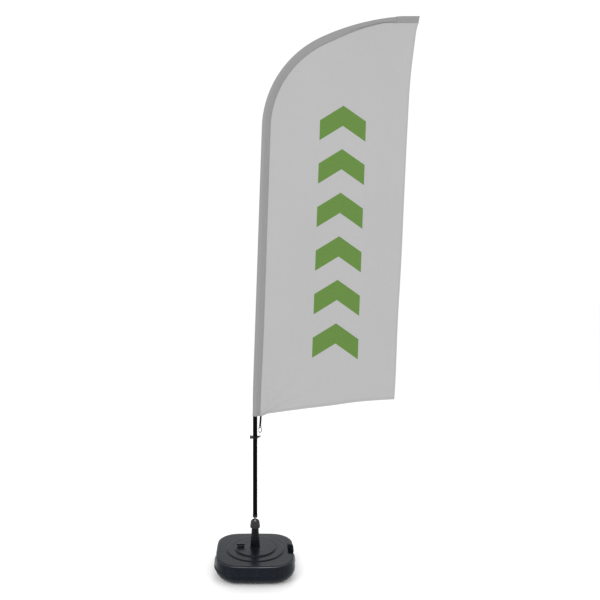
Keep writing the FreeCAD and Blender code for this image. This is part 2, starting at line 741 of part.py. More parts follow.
def build_panel():
    panel = new_body("flag_panel")
    shift = s.sleeve_seam + s.seam_gap
    start = beside(BEND_START, 0, shift)
    lean_start = beside(LEAN_START, s.lean_angle, shift)
    lean_end = beside(LEAN_END, s.lean_angle, shift)
    shoulder_end = beside(SHOULDER_END, s.shoulder_bend_angle, shift)
    sleeve_end = beside(SLEEVE_END, s.sleeve_end_angle, shift)
    top = s.pocket_foot - s.seam_gap
    sketch = draw(new_sketch(panel, "panel_outline"), [
        start + (-(s.lean_radius - shift),),
        lean_start,
        lean_end + (-(s.shoulder_bend_radius - shift),),
        shoulder_end + (-(s.top_bend_radius - shift),),
        sleeve_end,
        (s.pocket_start + 1, top),
        (s.edge_end_x, top),
        (s.edge_top_x, s.edge_top_z, s.edge_radius),
        (s.edge_bend_x, s.edge_bend_z),
        (s.foot_corner_x, s.foot_corner_z),
        (s.foot_mid_x, s.foot_mid_z),
        (s.foot_wave_x, s.foot_wave_z),
    ])
    pad(panel, "panel_cloth_sheet", sketch, s.panel_cloth, both_ways=True)
    keep(panel, "flag_panel")

    pouch = new_body("tip_pocket")
    sketch = draw(new_sketch(pouch, "pocket_outline"), [
        (s.pocket_start, s.pocket_foot), (s.pocket_end, s.pocket_foot),
        (s.pocket_end, s.pocket_top), (s.pocket_start, s.pocket_top),
    ])
    pad(pouch, "pocket_block", sketch, s.pocket_depth, both_ways=True)
    cloth = s.pocket_cloth
    sketch = draw(new_sketch(pouch, "pocket_inside"), [
        (s.pocket_start - 1, s.pocket_foot + 8), (s.pocket_end - cloth, s.pocket_foot + 8),
        (s.pocket_end - cloth, s.pocket_top - cloth), (s.pocket_start - 1, s.pocket_top - cloth),
    ])
    pocket(pouch, "pocket_hollow", sketch, s.pocket_depth - 2 * cloth, both_ways=True)
    keep(pouch, "tip_pocket")


# ---------------------------------------------------------------- tension collar

def turned_along_x(label, corners):
    """A turned piece whose own axis lies along -X, at the screw's height."""
    body = new_body(label)
    revolve(body, label + "_outline", corners)
    body.Placement = turn_about_y(-90)
    bind(body, "Placement.Base.z", s.collar_foot + s.collar_height / 2)
    return body


def build_collar():
    top = s.collar_foot + s.collar_height
    bevel = s.collar_chamfer
    collar = new_body("tension_collar")
    revolve(collar, "collar_ring", [
        (s.collar_bore, s.collar_foot), (s.collar_radius - bevel, s.collar_foot),
        (s.collar_radius, s.collar_foot + bevel), (s.collar_radius, top - bevel),
        (s.collar_radius - bevel, top), (s.collar_bore, top),
    ])
    middle = s.collar_foot + s.collar_height / 2
    sketch = new_sketch(collar, "boss_circle", "YZ_Plane", -s.boss_end)
    draw_circle(sketch, 0, middle, s.boss_radius)
    pad(collar, "boss", sketch, s.boss_end - s.collar_bore - 2)
    root_x = s.collar_bore + 2
    lug_low = s.lug_height - s.lug_half_height
    lug_high = s.lug_height + s.lug_half_height
    round_end = s.lug_end - s.lug_half_height
    sketch = draw(new_sketch(collar, "lug_outline"), [
        (root_x, lug_low - 3), (round_end, lug_low, s.lug_half_height),
        (s.lug_end, s.lug_height, s.lug_half_height), (round_end, lug_high), (root_x, top - 1),
    ])
    pad(collar, "lug", sketch, s.lug_depth, both_ways=True)
    sketch = new_sketch(collar, "lug_hole_circle")
    draw_circle(sketch, s.lug_hole_offset, s.lug_height, s.lug_hole)
    pocket(collar, "lug_hole_cut", sketch, s.lug_depth + 2, both_ways=True)
    sketch = new_sketch(collar, "screw_hole_circle", "YZ_Plane", -s.boss_end - 1)
    draw_circle(sketch, 0, middle, s.screw_hole)
    pocket(collar, "screw_hole_cut", sketch, s.boss_end - s.collar_bore + 3, backwards=True)
    keep(collar, "tension_collar")


def build_thumbscrew():
    keep(turned_along_x("collar_pad", [
        (0, s.pad_start), (s.pad_radius, s.pad_start), (s.pad_radius, s.pad_end), (0, s.pad_end),
    ]), "collar_pad")
    keep(turned_along_x("thumbscrew_shank", [
        (0, s.pad_end + 0.1), (s.screw_radius - 0.5, s.pad_end + 0.1),
        (s.screw_radius, s.pad_end + 0.6), (s.screw_radius, s.screw_end), (0, s.screw_end),
    ]), "thumbscrew_shank")
    knob = turned_along_x("thumbscrew_knob", [
        (s.screw_radius, s.knob_start), (s.knob_radius - 3, s.knob_start, 3),
        (s.knob_radius, s.knob_start + 3), (s.knob_radius, s.knob_end - 3, 3),
        (s.knob_radius - 3, s.knob_end), (0, s.knob_end), (0, s.screw_end),
        (s.screw_radius, s.screw_end),
    ])
    sketch = new_sketch(knob, "knob_groove_circle", "XY_Plane", s.knob_end + 1)
    draw_circle(sketch, s.knob_radius + 1.2, 0, s.knob_groove)
    groove = pocket(knob, "knob_groove_cut", sketch, s.knob_end - s.knob_start + 2)
    repeat_about(knob, "knob_grooves", groove, sketch, s.knob_lobe_count)
    keep(knob, "thumbscrew_knob")


# ---------------------------------------------------------------- link, hook and strap

def build_link():
    link = doc.addObject("Part::Torus", "tension_link")
    bind(link, "Radius1", s.link_radius)
    bind(link, "Radius2", s.link_wire)
    link.Placement = turn_about_y(90)
    bind(link, "Placement.Base.x", s.lug_hole_offset)
    low = s.lug_height + s.lug_hole - s.link_wire - s.link_slack
    bind(link, "Placement.Base.z", low + s.link_radius)
    keep(link, "tension_link")


def build_hook():
    """A wire loop with an eye above it; a sprung gate closes the loop's pole side."""
    left = s.hook_offset - s.hook_half_width
    right = s.hook_offset + s.hook_half_width
    bend = s.hook_half_width
    low = s.hook_bottom + bend
    high = low + s.hook_straight
    crown = high + bend
    hook = new_body("hook_loop")
    sweep(hook, "hook_wire_loop", [
        (left, low + 1), (left, low, bend), (s.hook_offset, s.hook_bottom, bend),
        (right, low), (right, high, bend), (s.hook_offset, crown, bend), (left, high),
    ], tube_section(s.hook_wire, 0))
    ear = new_sketch(hook, "ear_circle")
    draw_circle(ear, left, high, s.gate_ear_radius)
    pad(hook, "ears", ear, 2 * (s.gate_gap + s.gate_ear), both_ways=True)
    gap = new_sketch(hook, "ear_gap_circle")
    draw_circle(gap, left, high, s.gate_ear_radius + 0.4)
    pocket(hook, "ear_gap", gap, 2 * s.gate_gap, both_ways=True)
    hole = new_sketch(hook, "ear_hole_circle")
    draw_circle(hole, left, high, s.gate_pin_radius)
    pocket(hook, "ear_hole", hole, 20, both_ways=True)

    half = s.eye_half_width - s.eye_bend
    eye_low = crown + s.hook_wire * 0.5 + s.eye_wire * 0.5
    eye_high = eye_low + 2 * s.eye_bend
    eye = new_body("hook_eye")
    sweep(eye, "eye_wire_loop", [
        (s.hook_offset, eye_low), (s.hook_offset + half, eye_low, s.eye_bend),
        (s.hook_offset + half + s.eye_bend, eye_low + s.eye_bend, s.eye_bend),
        (s.hook_offset + half, eye_high), (s.hook_offset - half, eye_high, s.eye_bend),
        (s.hook_offset - half - s.eye_bend, eye_low + s.eye_bend, s.eye_bend),
        (s.hook_offset - half, eye_low), (s.hook_offset, eye_low),
    ], tube_section(s.eye_wire, 0))
    joined = doc.addObject("Part::Fuse", "snap_hook")
    joined.Base = hook
    joined.Tool = eye
    keep(joined, "snap_hook")

    gate = new_body("hook_gate")
    knuckle = new_sketch(gate, "knuckle_circle")
    draw_circle(knuckle, left, high, s.gate_ear_radius - 0.3)
    pad(gate, "knuckle", knuckle, 2 * (s.gate_gap - 0.15), both_ways=True)
    lever = draw(new_sketch(gate, "lever_outline"), [
        (left - s.gate_wire, high), (left - s.gate_wire, low + 1 + s.gate_clearance),
        (left + s.gate_wire, low + 1 + s.gate_clearance), (left + s.gate_wire, high),
    ])
    pad(gate, "lever", lever, 2 * (s.gate_gap - 0.15), both_ways=True)
    hole = new_sketch(gate, "gate_hole_circle")
    draw_circle(hole, left, high, s.gate_pin_hole)
    pocket(gate, "gate_hole", hole, 10, both_ways=True)
    keep(gate, "hook_gate")

    pin = new_body("gate_pin")
    circle = new_sketch(pin, "gate_pin_circle")
    draw_circle(circle, left, high, s.gate_pin_radius)
    pad(pin, "gate_pin_length", circle, 2 * (s.gate_gap + s.gate_ear), both_ways=True)
    keep(pin, "gate_pin")

    strap = doc.addObject("Part::Box", "tension_strap")
    strap_foot = eye_high + s.eye_wire
    bind(strap, "Length", s.strap_width)
    bind(strap, "Width", s.strap_depth)
    bind(strap, "Height", s.strap_top - strap_foot)
    bind(strap, "Placement.Base.x", s.hook_offset - s.strap_width / 2)
    bind(strap, "Placement.Base.y", -s.strap_depth / 2)
    bind(strap, "Placement.Base.z", strap_foot)
    keep(strap, "tension_strap")


# ---------------------------------------------------------------- build, check and write

def report_sweep(name, section_area, length):
    """A swept tube's volume is its section times its length."""
    volume = doc.getObject(name).Shape.Volume
    print("%s volume %.0f, section times length %.0f" % (name, volume, section_area * length))


def main():
    build_tank()
    build_water()
    build_filler_cap()
    build_stem()
    build_clamp()
    build_shank()
    build_bearings()
    build_turning_sleeve()
    build_poles()
    build_tip_cap()
    build_sleeve()
    build_panel()
    build_collar()
    build_thumbscrew()
    build_link()
    build_hook()
    doc.recompute()

    for thing in doc.Objects:
        if "Invalid" in thing.State or "Error" in thing.State:
            raise RuntimeError("%s is %s" % (thing.Name, thing.State))
    os.makedirs("parts", exist_ok=True)
    for node in nodes:
        if node.Shape.isNull() or not node.Shape.isValid():
            raise RuntimeError("%s has no valid shape" % node.Label)
    for node in nodes:
        node.Shape.exportStep("parts/%s.step" % node.Label)
        box = node.Shape.BoundBox
        print("%-20s solids %2d  volume %10.0f  z %7.1f to %7.1f" % (
            node.Label, len(node.Shape.Solids), node.Shape.Volume, box.ZMin, box.ZMax))
    shoulder = math.radians(s.shoulder_bend_angle - s.lean_angle) * s.shoulder_bend_radius
    top_bend = math.radians(90 - s.shoulder_bend_angle) * s.top_bend_radius
    report_sweep("top_rod", math.pi * s.rod_radius ** 2,
                 s.ferrule_length + shoulder + top_bend + s.tip_run)


main()
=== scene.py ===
import math

import bpy
import numpy as np
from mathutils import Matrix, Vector


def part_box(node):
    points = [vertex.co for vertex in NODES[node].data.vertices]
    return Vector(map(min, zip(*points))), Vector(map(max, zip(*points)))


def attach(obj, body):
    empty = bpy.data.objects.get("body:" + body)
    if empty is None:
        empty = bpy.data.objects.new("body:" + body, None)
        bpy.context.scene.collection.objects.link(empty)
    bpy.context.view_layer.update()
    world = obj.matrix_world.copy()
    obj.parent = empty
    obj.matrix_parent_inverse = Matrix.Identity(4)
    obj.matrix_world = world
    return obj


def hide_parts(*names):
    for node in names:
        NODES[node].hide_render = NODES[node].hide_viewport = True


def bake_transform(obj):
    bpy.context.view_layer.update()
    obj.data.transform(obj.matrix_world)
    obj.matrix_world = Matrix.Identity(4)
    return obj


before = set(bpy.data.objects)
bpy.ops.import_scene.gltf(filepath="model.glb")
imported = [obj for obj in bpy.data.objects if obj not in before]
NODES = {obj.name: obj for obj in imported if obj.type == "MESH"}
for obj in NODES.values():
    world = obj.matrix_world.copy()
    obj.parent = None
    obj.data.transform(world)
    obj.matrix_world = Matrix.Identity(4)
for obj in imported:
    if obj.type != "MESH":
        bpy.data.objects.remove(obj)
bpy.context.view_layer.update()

# A feather flag on a water-filled base. Metres, +Z up, X towards the flag's free edge.


# ---- camera

CAMERA_DISTANCE = 3.3
CAMERA_HEIGHT = 1.57
CAMERA_LENS = 35.2
CAMERA_SHIFT = (0.0748, -0.0195)


def new_object(name, data):
    thing = bpy.data.objects.new(name, data)
    bpy.context.collection.objects.link(thing)
    return thing


def build_camera():
    data = bpy.data.cameras.new("camera")
    data.lens = CAMERA_LENS
    data.sensor_width = 36
    data.shift_x, data.shift_y = CAMERA_SHIFT
    data.clip_end = 100
    camera = new_object("camera", data)
    camera.location = (0, -CAMERA_DISTANCE, CAMERA_HEIGHT)
    camera.rotation_euler = (math.radians(90), 0, 0)
    bpy.context.scene.camera = camera


# ---- floor and light

def build_studio():
    world = bpy.data.worlds.new("studio")
    bpy.context.scene.world = world
    world.use_nodes = True
    background = world.node_tree.nodes["Background"]
    background.inputs["Color"].default_value = (1, 1, 1, 1)
    background.inputs["Strength"].default_value = 1.02

    size = 60
    floor = bpy.data.meshes.new("floor")
    floor.from_pydata([(-size, -size, 0), (size, -size, 0), (size, size, 0), (-size, size, 0)],
                      [], [(0, 1, 2, 3)])
    floor.materials.append(plain_floor())
    new_object("floor", floor)

    area_light("key", (-2.6, -3.2, 3.6), (0.2, 0, 1.5), 2.4, 60)
    area_light("fill", (3.2, -2.8, 2.4), (0.2, 0, 1.3), 2.4, 26)
    area_light("back", (0.4, 3.4, 3.8), (0.2, 0, 1.2), 2.4, 34)
    bpy.context.scene.view_settings.view_transform = "Standard"


def area_light(name, place, target, size, power):
    data = bpy.data.lights.new(name, "AREA")
    data.shape = "DISK"
    data.size = size
    data.energy = power
    light = new_object(name, data)
    light.location = place
    light.rotation_euler = (Vector(target) - Vector(place)).to_track_quat("-Z", "Y").to_euler()


# ---- material tools

class Nodes:
    """Builds one node material: short calls that add a node, set its values and link it."""

    def __init__(self, name):
        self.material = bpy.data.materials.new(name)
        self.material.use_nodes = True
        self.tree = self.material.node_tree
        self.shader = self.tree.nodes["Principled BSDF"]
        self.place = self.add("ShaderNodeTexCoord").outputs["Object"]

    def add(self, kind, inputs=None, **settings):
        node = self.tree.nodes.new(kind)
        for key, value in settings.items():
            setattr(node, key, value)
        for key, value in (inputs or {}).items():
            self.feed(node.inputs[key], value)
        return node

    def feed(self, socket, value):
        if isinstance(value, bpy.types.NodeSocket):
            self.tree.links.new(value, socket)
        else:
            socket.default_value = value

    def put(self, name, value):
        """Sets one of the shader's sockets, to a value or to a node's output."""
        self.feed(self.shader.inputs[name], value)

    def maths(self, operation, first, second=0.0):
        return self.add("ShaderNodeMath", {0: first, 1: second}, operation=operation).outputs[0]

    def times(self, first, second):
        return self.maths("MULTIPLY", first, second)

    def noise(self, scale, detail=3.0, stretch=None, rough=0.5):
        place = self.place
        if stretch:
            place = self.add("ShaderNodeMapping", {"Vector": place, "Scale": stretch}).outputs[0]
        return self.add("ShaderNodeTexNoise",
                        {"Vector": place, "Scale": scale, "Detail": detail, "Roughness": rough},
                        ).outputs["Fac"]

    def remap(self, value, low, high, out_low, out_high):
        return self.add("ShaderNodeMapRange", {
            "Value": value, "From Min": low, "From Max": high,
            "To Min": out_low, "To Max": out_high}).outputs[0]

    def mix(self, factor, first, second):
        node = self.add("ShaderNodeMix", data_type="RGBA")
        self.feed(node.inputs[0], factor)
        self.feed(node.inputs[6], first)
        self.feed(node.inputs[7], second)
        return node.outputs[2]

    def bump(self, height, depth, normal=None, strength=1.0):
        inputs = {"Height": height, "Distance": depth, "Strength": strength}
        if normal is not None:
            inputs["Normal"] = normal
        return self.add("ShaderNodeBump", inputs).outputs[0]


def rgb(red, green, blue):
    """A display colour, 0 to 255, as the linear colour that the shader takes."""
    def linear(value):
        value = value / 255
        return value / 12.92 if value <= 0.04045 else ((value + 0.055) / 1.055) ** 2.4
    return (linear(red), linear(green), linear(blue), 1)


def shade(colour, factor):
    return (colour[0] * factor, colour[1] * factor, colour[2] * factor, 1)


def plain_floor():
    kit = Nodes("floor_paper")
    tone = kit.remap(kit.noise(1.5), 0.3, 0.7, 0.975, 0.99)
    kit.put("Base Color", kit.add("ShaderNodeCombineColor", {0: tone, 1: tone, 2: tone}).outputs[0])
    kit.put("Roughness", 0.9)
    kit.put("Specular IOR Level", 0.1)
    return kit.material


# The mask of the painted highlight on the tank's crease.
def height_band(kit, low, high, soft=0.0005):
    """1 between two heights above the floor, fading to 0 outside them and round the corners."""
    x, y, height = kit.add("ShaderNodeSeparateXYZ", {0: kit.place}).outputs
    above = kit.remap(height, low - soft, low, 0, 1)
    below = kit.remap(height, high, high + soft, 1, 0)
    corner = kit.maths("ABSOLUTE", kit.times(x, y))
    straight = kit.remap(corner, 0.018, 0.028, 1, 0.1)
    return kit.times(kit.times(above, below), straight)


def moulded_plastic(name, colour, rough, grain=0.00005, grain_scale=900, wear=0.2, shine=0.5,
                    wear_and_highlight_tone=None, highlight_heights=None):
    """Plastic with mould grain, a soft waviness, faint dust and lighter rubbed edges.

    The tone given for rubbed edges is worked out from the colour if left out, and where a band is asked it
    also colours a painted highlight. The band is a pair of heights; the edge between them is lightened all
    along, a painted highlight that stands in for a lamp's glint there.
    """
    kit = Nodes(name)
    cloud = kit.noise(14, 4)
    fine = kit.noise(grain_scale, 2)
    wave = kit.noise(22, 2)
    edge = kit.remap(kit.add("ShaderNodeNewGeometry").outputs["Pointiness"], 0.52, 0.60, 0, wear)
    rubbed = kit.times(edge, kit.remap(kit.noise(160, 4), 0.35, 0.65, 0.2, 1))
    base = kit.mix(kit.remap(cloud, 0.3, 0.7, 0, 1), shade(colour, 0.86), shade(colour, 1.16))
    wear_and_highlight = kit.mix(rubbed, base, wear_and_highlight_tone or shade(colour, 2.2))
    # Painted highlight: between the given heights the colour goes over to the light tone all round, in
    # patches, a light streak standing in for a lamp's glint on that edge.
    if highlight_heights:
        patchy = kit.remap(kit.noise(6, 3), 0.35, 0.6, 0.35, 1)
        band = kit.times(height_band(kit, *highlight_heights), patchy)
        wear_and_highlight = kit.mix(band, wear_and_highlight, wear_and_highlight_tone)
    dust = kit.remap(kit.noise(55, 6, rough=0.65), 0.52, 0.78, 0, 0.03)
    dusty = kit.mix(dust, wear_and_highlight, (0.30, 0.30, 0.29, 1))
    kit.put("Base Color", dusty)
    kit.put("Roughness", kit.remap(kit.noise(48, 5), 0.3, 0.7, rough - 0.05, rough + 0.07))
    broad = kit.bump(wave, 0.0006, strength=0.5)
    kit.put("Normal", kit.bump(fine, grain, broad, 0.6))
    kit.put("Specular IOR Level", shine)
    return kit.material


def metal(name, colour, rough, stretch):
    """Metal with a brushed or drawn direction and fine scratches."""
    kit = Nodes(name)
    lines = kit.noise(260, 3, stretch)
    tone = kit.mix(kit.remap(lines, 0.3, 0.7, 0, 1), shade(colour, 0.84), shade(colour, 1.08))
    stain = kit.remap(kit.noise(70, 5), 0.5, 0.8, 0, 0.25)
    kit.put("Base Color", kit.mix(stain, tone, shade(colour, 0.6)))
    kit.put("Roughness", kit.remap(lines, 0.3, 0.7, rough - 0.06, rough + 0.1))
    kit.put("Normal", kit.bump(lines, 0.00003, strength=0.5))
    kit.put("Metallic", 1.0)
    return kit.material


def coated_metal(name, colour, rough, stretch=(1, 1, 1), shine=0.25, wear=0.5):
    """Black anodised or painted metal: orange peel, fine drawn lines and chipped edges."""
    kit = Nodes(name)
    lines = kit.noise(420, 3, stretch)
    peel = kit.noise(1300, 2)
    edge = kit.remap(kit.add("ShaderNodeNewGeometry").outputs["Pointiness"], 0.54, 0.64, 0, wear)
    chips = kit.times(edge, kit.remap(kit.noise(500, 4), 0.5, 0.6, 0, 1))
    tone = kit.mix(kit.remap(lines, 0.3, 0.7, 0, 1), shade(colour, 0.8), shade(colour, 1.25))
    kit.put("Base Color", kit.mix(chips, tone, (0.12, 0.12, 0.12, 1)))
    kit.put("Roughness", kit.remap(lines, 0.3, 0.7, rough - 0.05, rough + 0.08))
    kit.put("Normal", kit.bump(peel, 0.00002, kit.bump(lines, 0.00003, strength=0.4), 0.5))
    kit.put("Specular IOR Level", shine)
    return kit.material


# ---- cloth materials

THREAD_PITCH = 0.0011
RIB_PITCH = 0.0011
CORD_PITCH = 0.0014
# Each cloth mesh carries its flat-cut coordinates, and the panel marks where its hems lie double; there
# the cloth is painted darker, painted shade for the light that shines through one layer but less through
# two.
FLAT = "flat"
DOUBLE_LAYER_SHADE = "layers"


def weave(kit):
    """Plain weave from the flat-cut coordinates: height of the threads, 0 to 1."""
    flat = kit.add("ShaderNodeUVMap", uv_map=FLAT).outputs[0]
    parts = kit.add("ShaderNodeSeparateXYZ", {0: flat})
    turn = 2 * math.pi / THREAD_PITCH
    across = kit.maths("SINE", kit.times(parts.outputs[0], turn))
    up = kit.maths("SINE", kit.times(parts.outputs[1], turn))
    height = kit.times(across, up)
    return kit.remap(height, -1, 1, 0, 1), parts


def cloth(name, colour, print_mask=None, print_colour=None):
    """Woven polyester: threads, slubs, slight soiling and, where asked, printed ink."""
    kit = Nodes(name)
    threads, parts = weave(kit)
    slub = kit.noise(380, 4, (1, 1, 0.12))
    cloud = kit.noise(2.4, 4)
    soft = kit.mix(kit.remap(cloud, 0.3, 0.7, 0, 1), shade(colour, 0.975), shade(colour, 1.02))
    slubbed = kit.mix(kit.remap(slub, 0.35, 0.7, 0, 0.5), soft, shade(colour, 0.93))
    woven = kit.mix(kit.remap(threads, 0, 1, 0, 0.35), slubbed, shade(colour, 0.90))
    layers = kit.add("ShaderNodeAttribute", attribute_name=DOUBLE_LAYER_SHADE).outputs["Fac"]
    # Painted shade: darker where the hems lie double, for the light that comes through one layer but less
    # through two.
    woven = kit.mix(kit.times(layers, 0.6), woven, shade(colour, 0.90))
    if print_mask:
        mask = print_mask(kit, parts)
        ink = kit.mix(kit.remap(kit.noise(160, 4), 0.35, 0.7, 0, 1), shade(print_colour, 0.94),
                      shade(print_colour, 1.06))
        ink = kit.mix(kit.remap(threads, 0, 1, 0, 0.25), ink, shade(print_colour, 0.84))
        woven = kit.mix(mask, woven, ink)
    kit.put("Base Color", woven)
    kit.put("Roughness", kit.remap(slub, 0.3, 0.7, 0.77, 0.87))
    kit.put("Normal", kit.bump(threads, 0.00012, strength=0.35))
    kit.put("Sheen Weight", 0.12)
    kit.put("Sheen Roughness", 0.5)
    kit.put("Specular IOR Level", 0.25)
    return kit.material


# The printed column: wide upward arrowheads, one above another, leaning with the mast.
PRINT_FOOT = Vector((0.449, 1.174))
PRINT_LEAN = math.radians(1.94)
PRINT_HALF_WIDTH = 0.129
PRINT_PITCH = 0.2450
PRINT_BAND = 0.114
PRINT_SLOPE = 0.66
PRINT_COUNT = 6


def arrow_mask(kit, parts):
    """1 inside the printed arrowheads, 0 outside, from the flat-cut coordinates."""
    x = kit.maths("SUBTRACT", parts.outputs[0], PRINT_FOOT.x)
    z = kit.maths("SUBTRACT", parts.outputs[1], PRINT_FOOT.y)
    lean_cos, lean_sin = math.cos(PRINT_LEAN), math.sin(PRINT_LEAN)
    across = kit.maths("SUBTRACT", kit.times(x, lean_cos),
                       kit.times(z, lean_sin))
    up = kit.maths("ADD", kit.times(z, lean_cos), kit.times(x, lean_sin))
    side = kit.maths("ABSOLUTE", across)
    rise = kit.maths("ADD", up, kit.times(side, PRINT_SLOPE))
    rise = kit.maths("SUBTRACT", rise, PRINT_HALF_WIDTH * PRINT_SLOPE)
    step = kit.maths("DIVIDE", rise, PRINT_PITCH)
    within = kit.times(kit.maths("FRACT", step), PRINT_PITCH)
    band = kit.maths("LESS_THAN", within, PRINT_BAND)
    above = kit.maths("GREATER_THAN", step, 0.0)
    below = kit.maths("LESS_THAN", step, float(PRINT_COUNT))
    inside = kit.maths("LESS_THAN", side, PRINT_HALF_WIDTH)
    return kit.times(kit.times(band, above), kit.times(below, inside))


def webbing(name, colour):
    """Elastic webbing: ribs across the strap and fine lengthwise threads."""
    kit = Nodes(name)
    flat = kit.add("ShaderNodeUVMap", uv_map=FLAT).outputs[0]
    parts = kit.add("ShaderNodeSeparateXYZ", {0: flat})
    ribs = kit.maths("SINE", kit.times(parts.outputs[1], 2 * math.pi / RIB_PITCH))
    rows = kit.maths("SINE", kit.times(parts.outputs[0], 2 * math.pi / CORD_PITCH))
    height = kit.maths("ADD", kit.times(ribs, 0.6), kit.times(rows, 0.4))
    # Painted light and shade: the rib tops are painted lighter and the grooves between them darker,
    # following the same height as the bump.
    tone = kit.remap(height, -1, 1, 0, 1)
    kit.put("Base Color", kit.mix(tone, shade(colour, 0.6), shade(colour, 1.7)))
    kit.put("Normal", kit.bump(height, 0.0002, strength=0.7))
    kit.put("Roughness", kit.remap(kit.noise(300), 0.3, 0.7, 0.7, 0.9))
    kit.put("Sheen Weight", 0.05)
    kit.put("Specular IOR Level", 0.15)
    return kit.material


def thread_material(name, colour):
    kit = Nodes(name)
    ply = kit.noise(2600, 2)
    kit.put("Base Color", kit.mix(kit.remap(ply, 0.3, 0.7, 0, 1), shade(colour, 0.8), shade(colour, 1.15)))
    kit.put("Roughness", kit.remap(ply, 0.3, 0.7, 0.45, 0.65))
    kit.put("Normal", kit.bump(ply, 0.00005, strength=0.6))
    return kit.material


# ---- mesh tools

def make_piece(name, points, faces, material, body=None, flat=None):
    """A mesh object from points and faces; flat gives each point its flat-cut coordinates."""
    mesh = bpy.data.meshes.new(name)
    mesh.from_pydata([tuple(point) for point in points], [], [tuple(face) for face in faces])
    mesh.validate()
    if flat is not None:
        layer = mesh.uv_layers.new(name=FLAT)
        corners = np.zeros(len(mesh.loops), dtype=np.int32)
        mesh.loops.foreach_get("vertex_index", corners)
        layer.data.foreach_set("uv", np.asarray(flat, dtype=np.float32)[corners].ravel())
    mesh.polygons.foreach_set("use_smooth", [True] * len(mesh.polygons))
    mesh.materials.append(material)
    piece = new_object(name, mesh)
    if body:
        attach(piece, body)
    return piece


def grid_faces(rows, columns, wrap=False, start=0, flip=False):
    """Quads between rows of points; wrap joins the last column to the first."""
    faces = []
    last = columns if wrap else columns - 1
    for row in range(rows - 1):
        for column in range(last):
            a = start + row * columns + column
            b = start + row * columns + (column + 1) % columns
            quad = (a, b, b + columns, a + columns)
            faces.append(quad[::-1] if flip else quad)
    return faces


def smooth_step(low, high, value):
    share = np.clip((value - low) / (high - low), 0, 1)
    return share * share * (3 - 2 * share)


def arc_lengths(points):
    """Distance along a line of points, at each of them."""
    return np.concatenate([[0], np.cumsum(np.linalg.norm(np.diff(points, axis=0), axis=1))])


def headings(path):
    along = np.gradient(path, axis=0)
    return along / np.linalg.norm(along, axis=1)[:, None]


def end_caps(rows, columns, flip=False):
    """Faces that close the first and the last row of a wrapped grid."""
    first = tuple(range(columns))
    last = tuple((rows - 1) * columns + column for column in range(columns))
    return [first, last[::-1]] if flip else [first[::-1], last]


def closed_tube(path, radius, sides, up):
    """Points and faces of a tube with flat ends; up is any way not along the path."""
    path = np.asarray(path, dtype=float)
    along = headings(path)
    side = np.cross(along, np.asarray(up, dtype=float))
    side /= np.linalg.norm(side, axis=1)[:, None]
    lift = np.cross(side, along)
    turn = np.linspace(0, 2 * math.pi, sides, endpoint=False)
    ring = (np.cos(turn)[None, :, None] * side[:, None, :]
            + np.sin(turn)[None, :, None] * lift[:, None, :])
    points = path[:, None, :] + ring * radius
    rows = len(path)
    return points.reshape(-1, 3), grid_faces(rows, sides, wrap=True) + end_caps(rows, sides)


def join_parts(parts):
    """Joins (points, faces) pairs into one list of each."""
    points, faces, start = [], [], 0
    for part_points, part_faces in parts:
        points.append(np.asarray(part_points, dtype=float).reshape(-1, 3))
        faces += [tuple(start + index for index in face) for face in part_faces]
        start += len(points[-1])
    return np.concatenate(points), faces


def ripple(x, y, scale, seed):
    """A smooth, repeatable wave field, about -1 to 1, made of four sines at random angles."""
    rng = np.random.default_rng(seed)
    finer, fainter, peak = 1.7, 1.6, 2.2
    total = np.zeros(np.broadcast(x, y).shape)
    for octave in range(4):
        angle = rng.uniform(0, 2 * math.pi)
        rate = scale * (finer ** octave) * rng.uniform(0.8, 1.2)
        phase = rng.uniform(0, 2 * math.pi)
        along = x * math.cos(angle) + y * math.sin(angle)
        total = total + np.sin(rate * along + phase) / (fainter ** octave)
    return total / peak


# ---- the mast's line

LEAN_RADIUS = 6.0
LEAN_ANGLE = math.radians(1.94)
LEAN_RUN = 1.425
SHOULDER_RADIUS = 0.562
SHOULDER_ANGLE = math.radians(65.19)
TOP_RADIUS = 1.2794
SLEEVE_END_ANGLE = math.radians(84.65)
SLEEVE_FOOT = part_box("flag_sleeve")[0].z

ARC_LENGTHS = (
    LEAN_RADIUS * LEAN_ANGLE,
    LEAN_RUN,
    SHOULDER_RADIUS * (SHOULDER_ANGLE - LEAN_ANGLE),
    TOP_RADIUS * (SLEEVE_END_ANGLE - SHOULDER_ANGLE),
)
SLEEVE_LENGTH = sum(ARC_LENGTHS)


def mast_point(distance):
    """The mast's centre and heading at a distance above the sleeve's foot."""
    x, z, heading = 0.0, SLEEVE_FOOT, 0.0
    bends = ((LEAN_RADIUS, LEAN_ANGLE), (None, None), (SHOULDER_RADIUS, SHOULDER_ANGLE),
             (TOP_RADIUS, math.radians(90)))
    left = distance
    for (radius, end), length in zip(bends, ARC_LENGTHS[:3] + (math.inf,)):
        run = min(left, length)
        if radius is None:
            x += run * math.sin(heading)
            z += run * math.cos(heading)
        else:
            after = heading + run / radius
            x += radius * (math.cos(heading) - math.cos(after))
            z += radius * (math.sin(after) - math.sin(heading))
            heading = after
        left -= run
        if left <= 0:
            break
    return x, z, heading


# Sleeve: distance above its foot, width across the flat of the pocket, half depth, all in metres.
SLEEVE_STATIONS = np.array([
    (0.000, 0.0440, 0.0150), (0.015, 0.0430, 0.0143), (0.120, 0.0460, 0.0142),
    (0.480, 0.0505, 0.0142), (1.600, 0.0495, 0.0142), (2.000, 0.0485, 0.0110),
    (2.300, 0.0465, 0.0088), (2.400, 0.0400, 0.0084), (2.506, 0.0320, 0.0080),
    (2.605, 0.0275, 0.0080), (2.650, 0.0310, 0.0082), (SLEEVE_LENGTH, 0.0370, 0.0084),
])
SLEEVE_OUTER = 0.014
SLEEVE_CLOTH = 0.0005
SEAM_HALF = 0.0006


def sleeve_width(distance):
    return np.interp(distance, SLEEVE_STATIONS[:, 0], SLEEVE_STATIONS[:, 1])


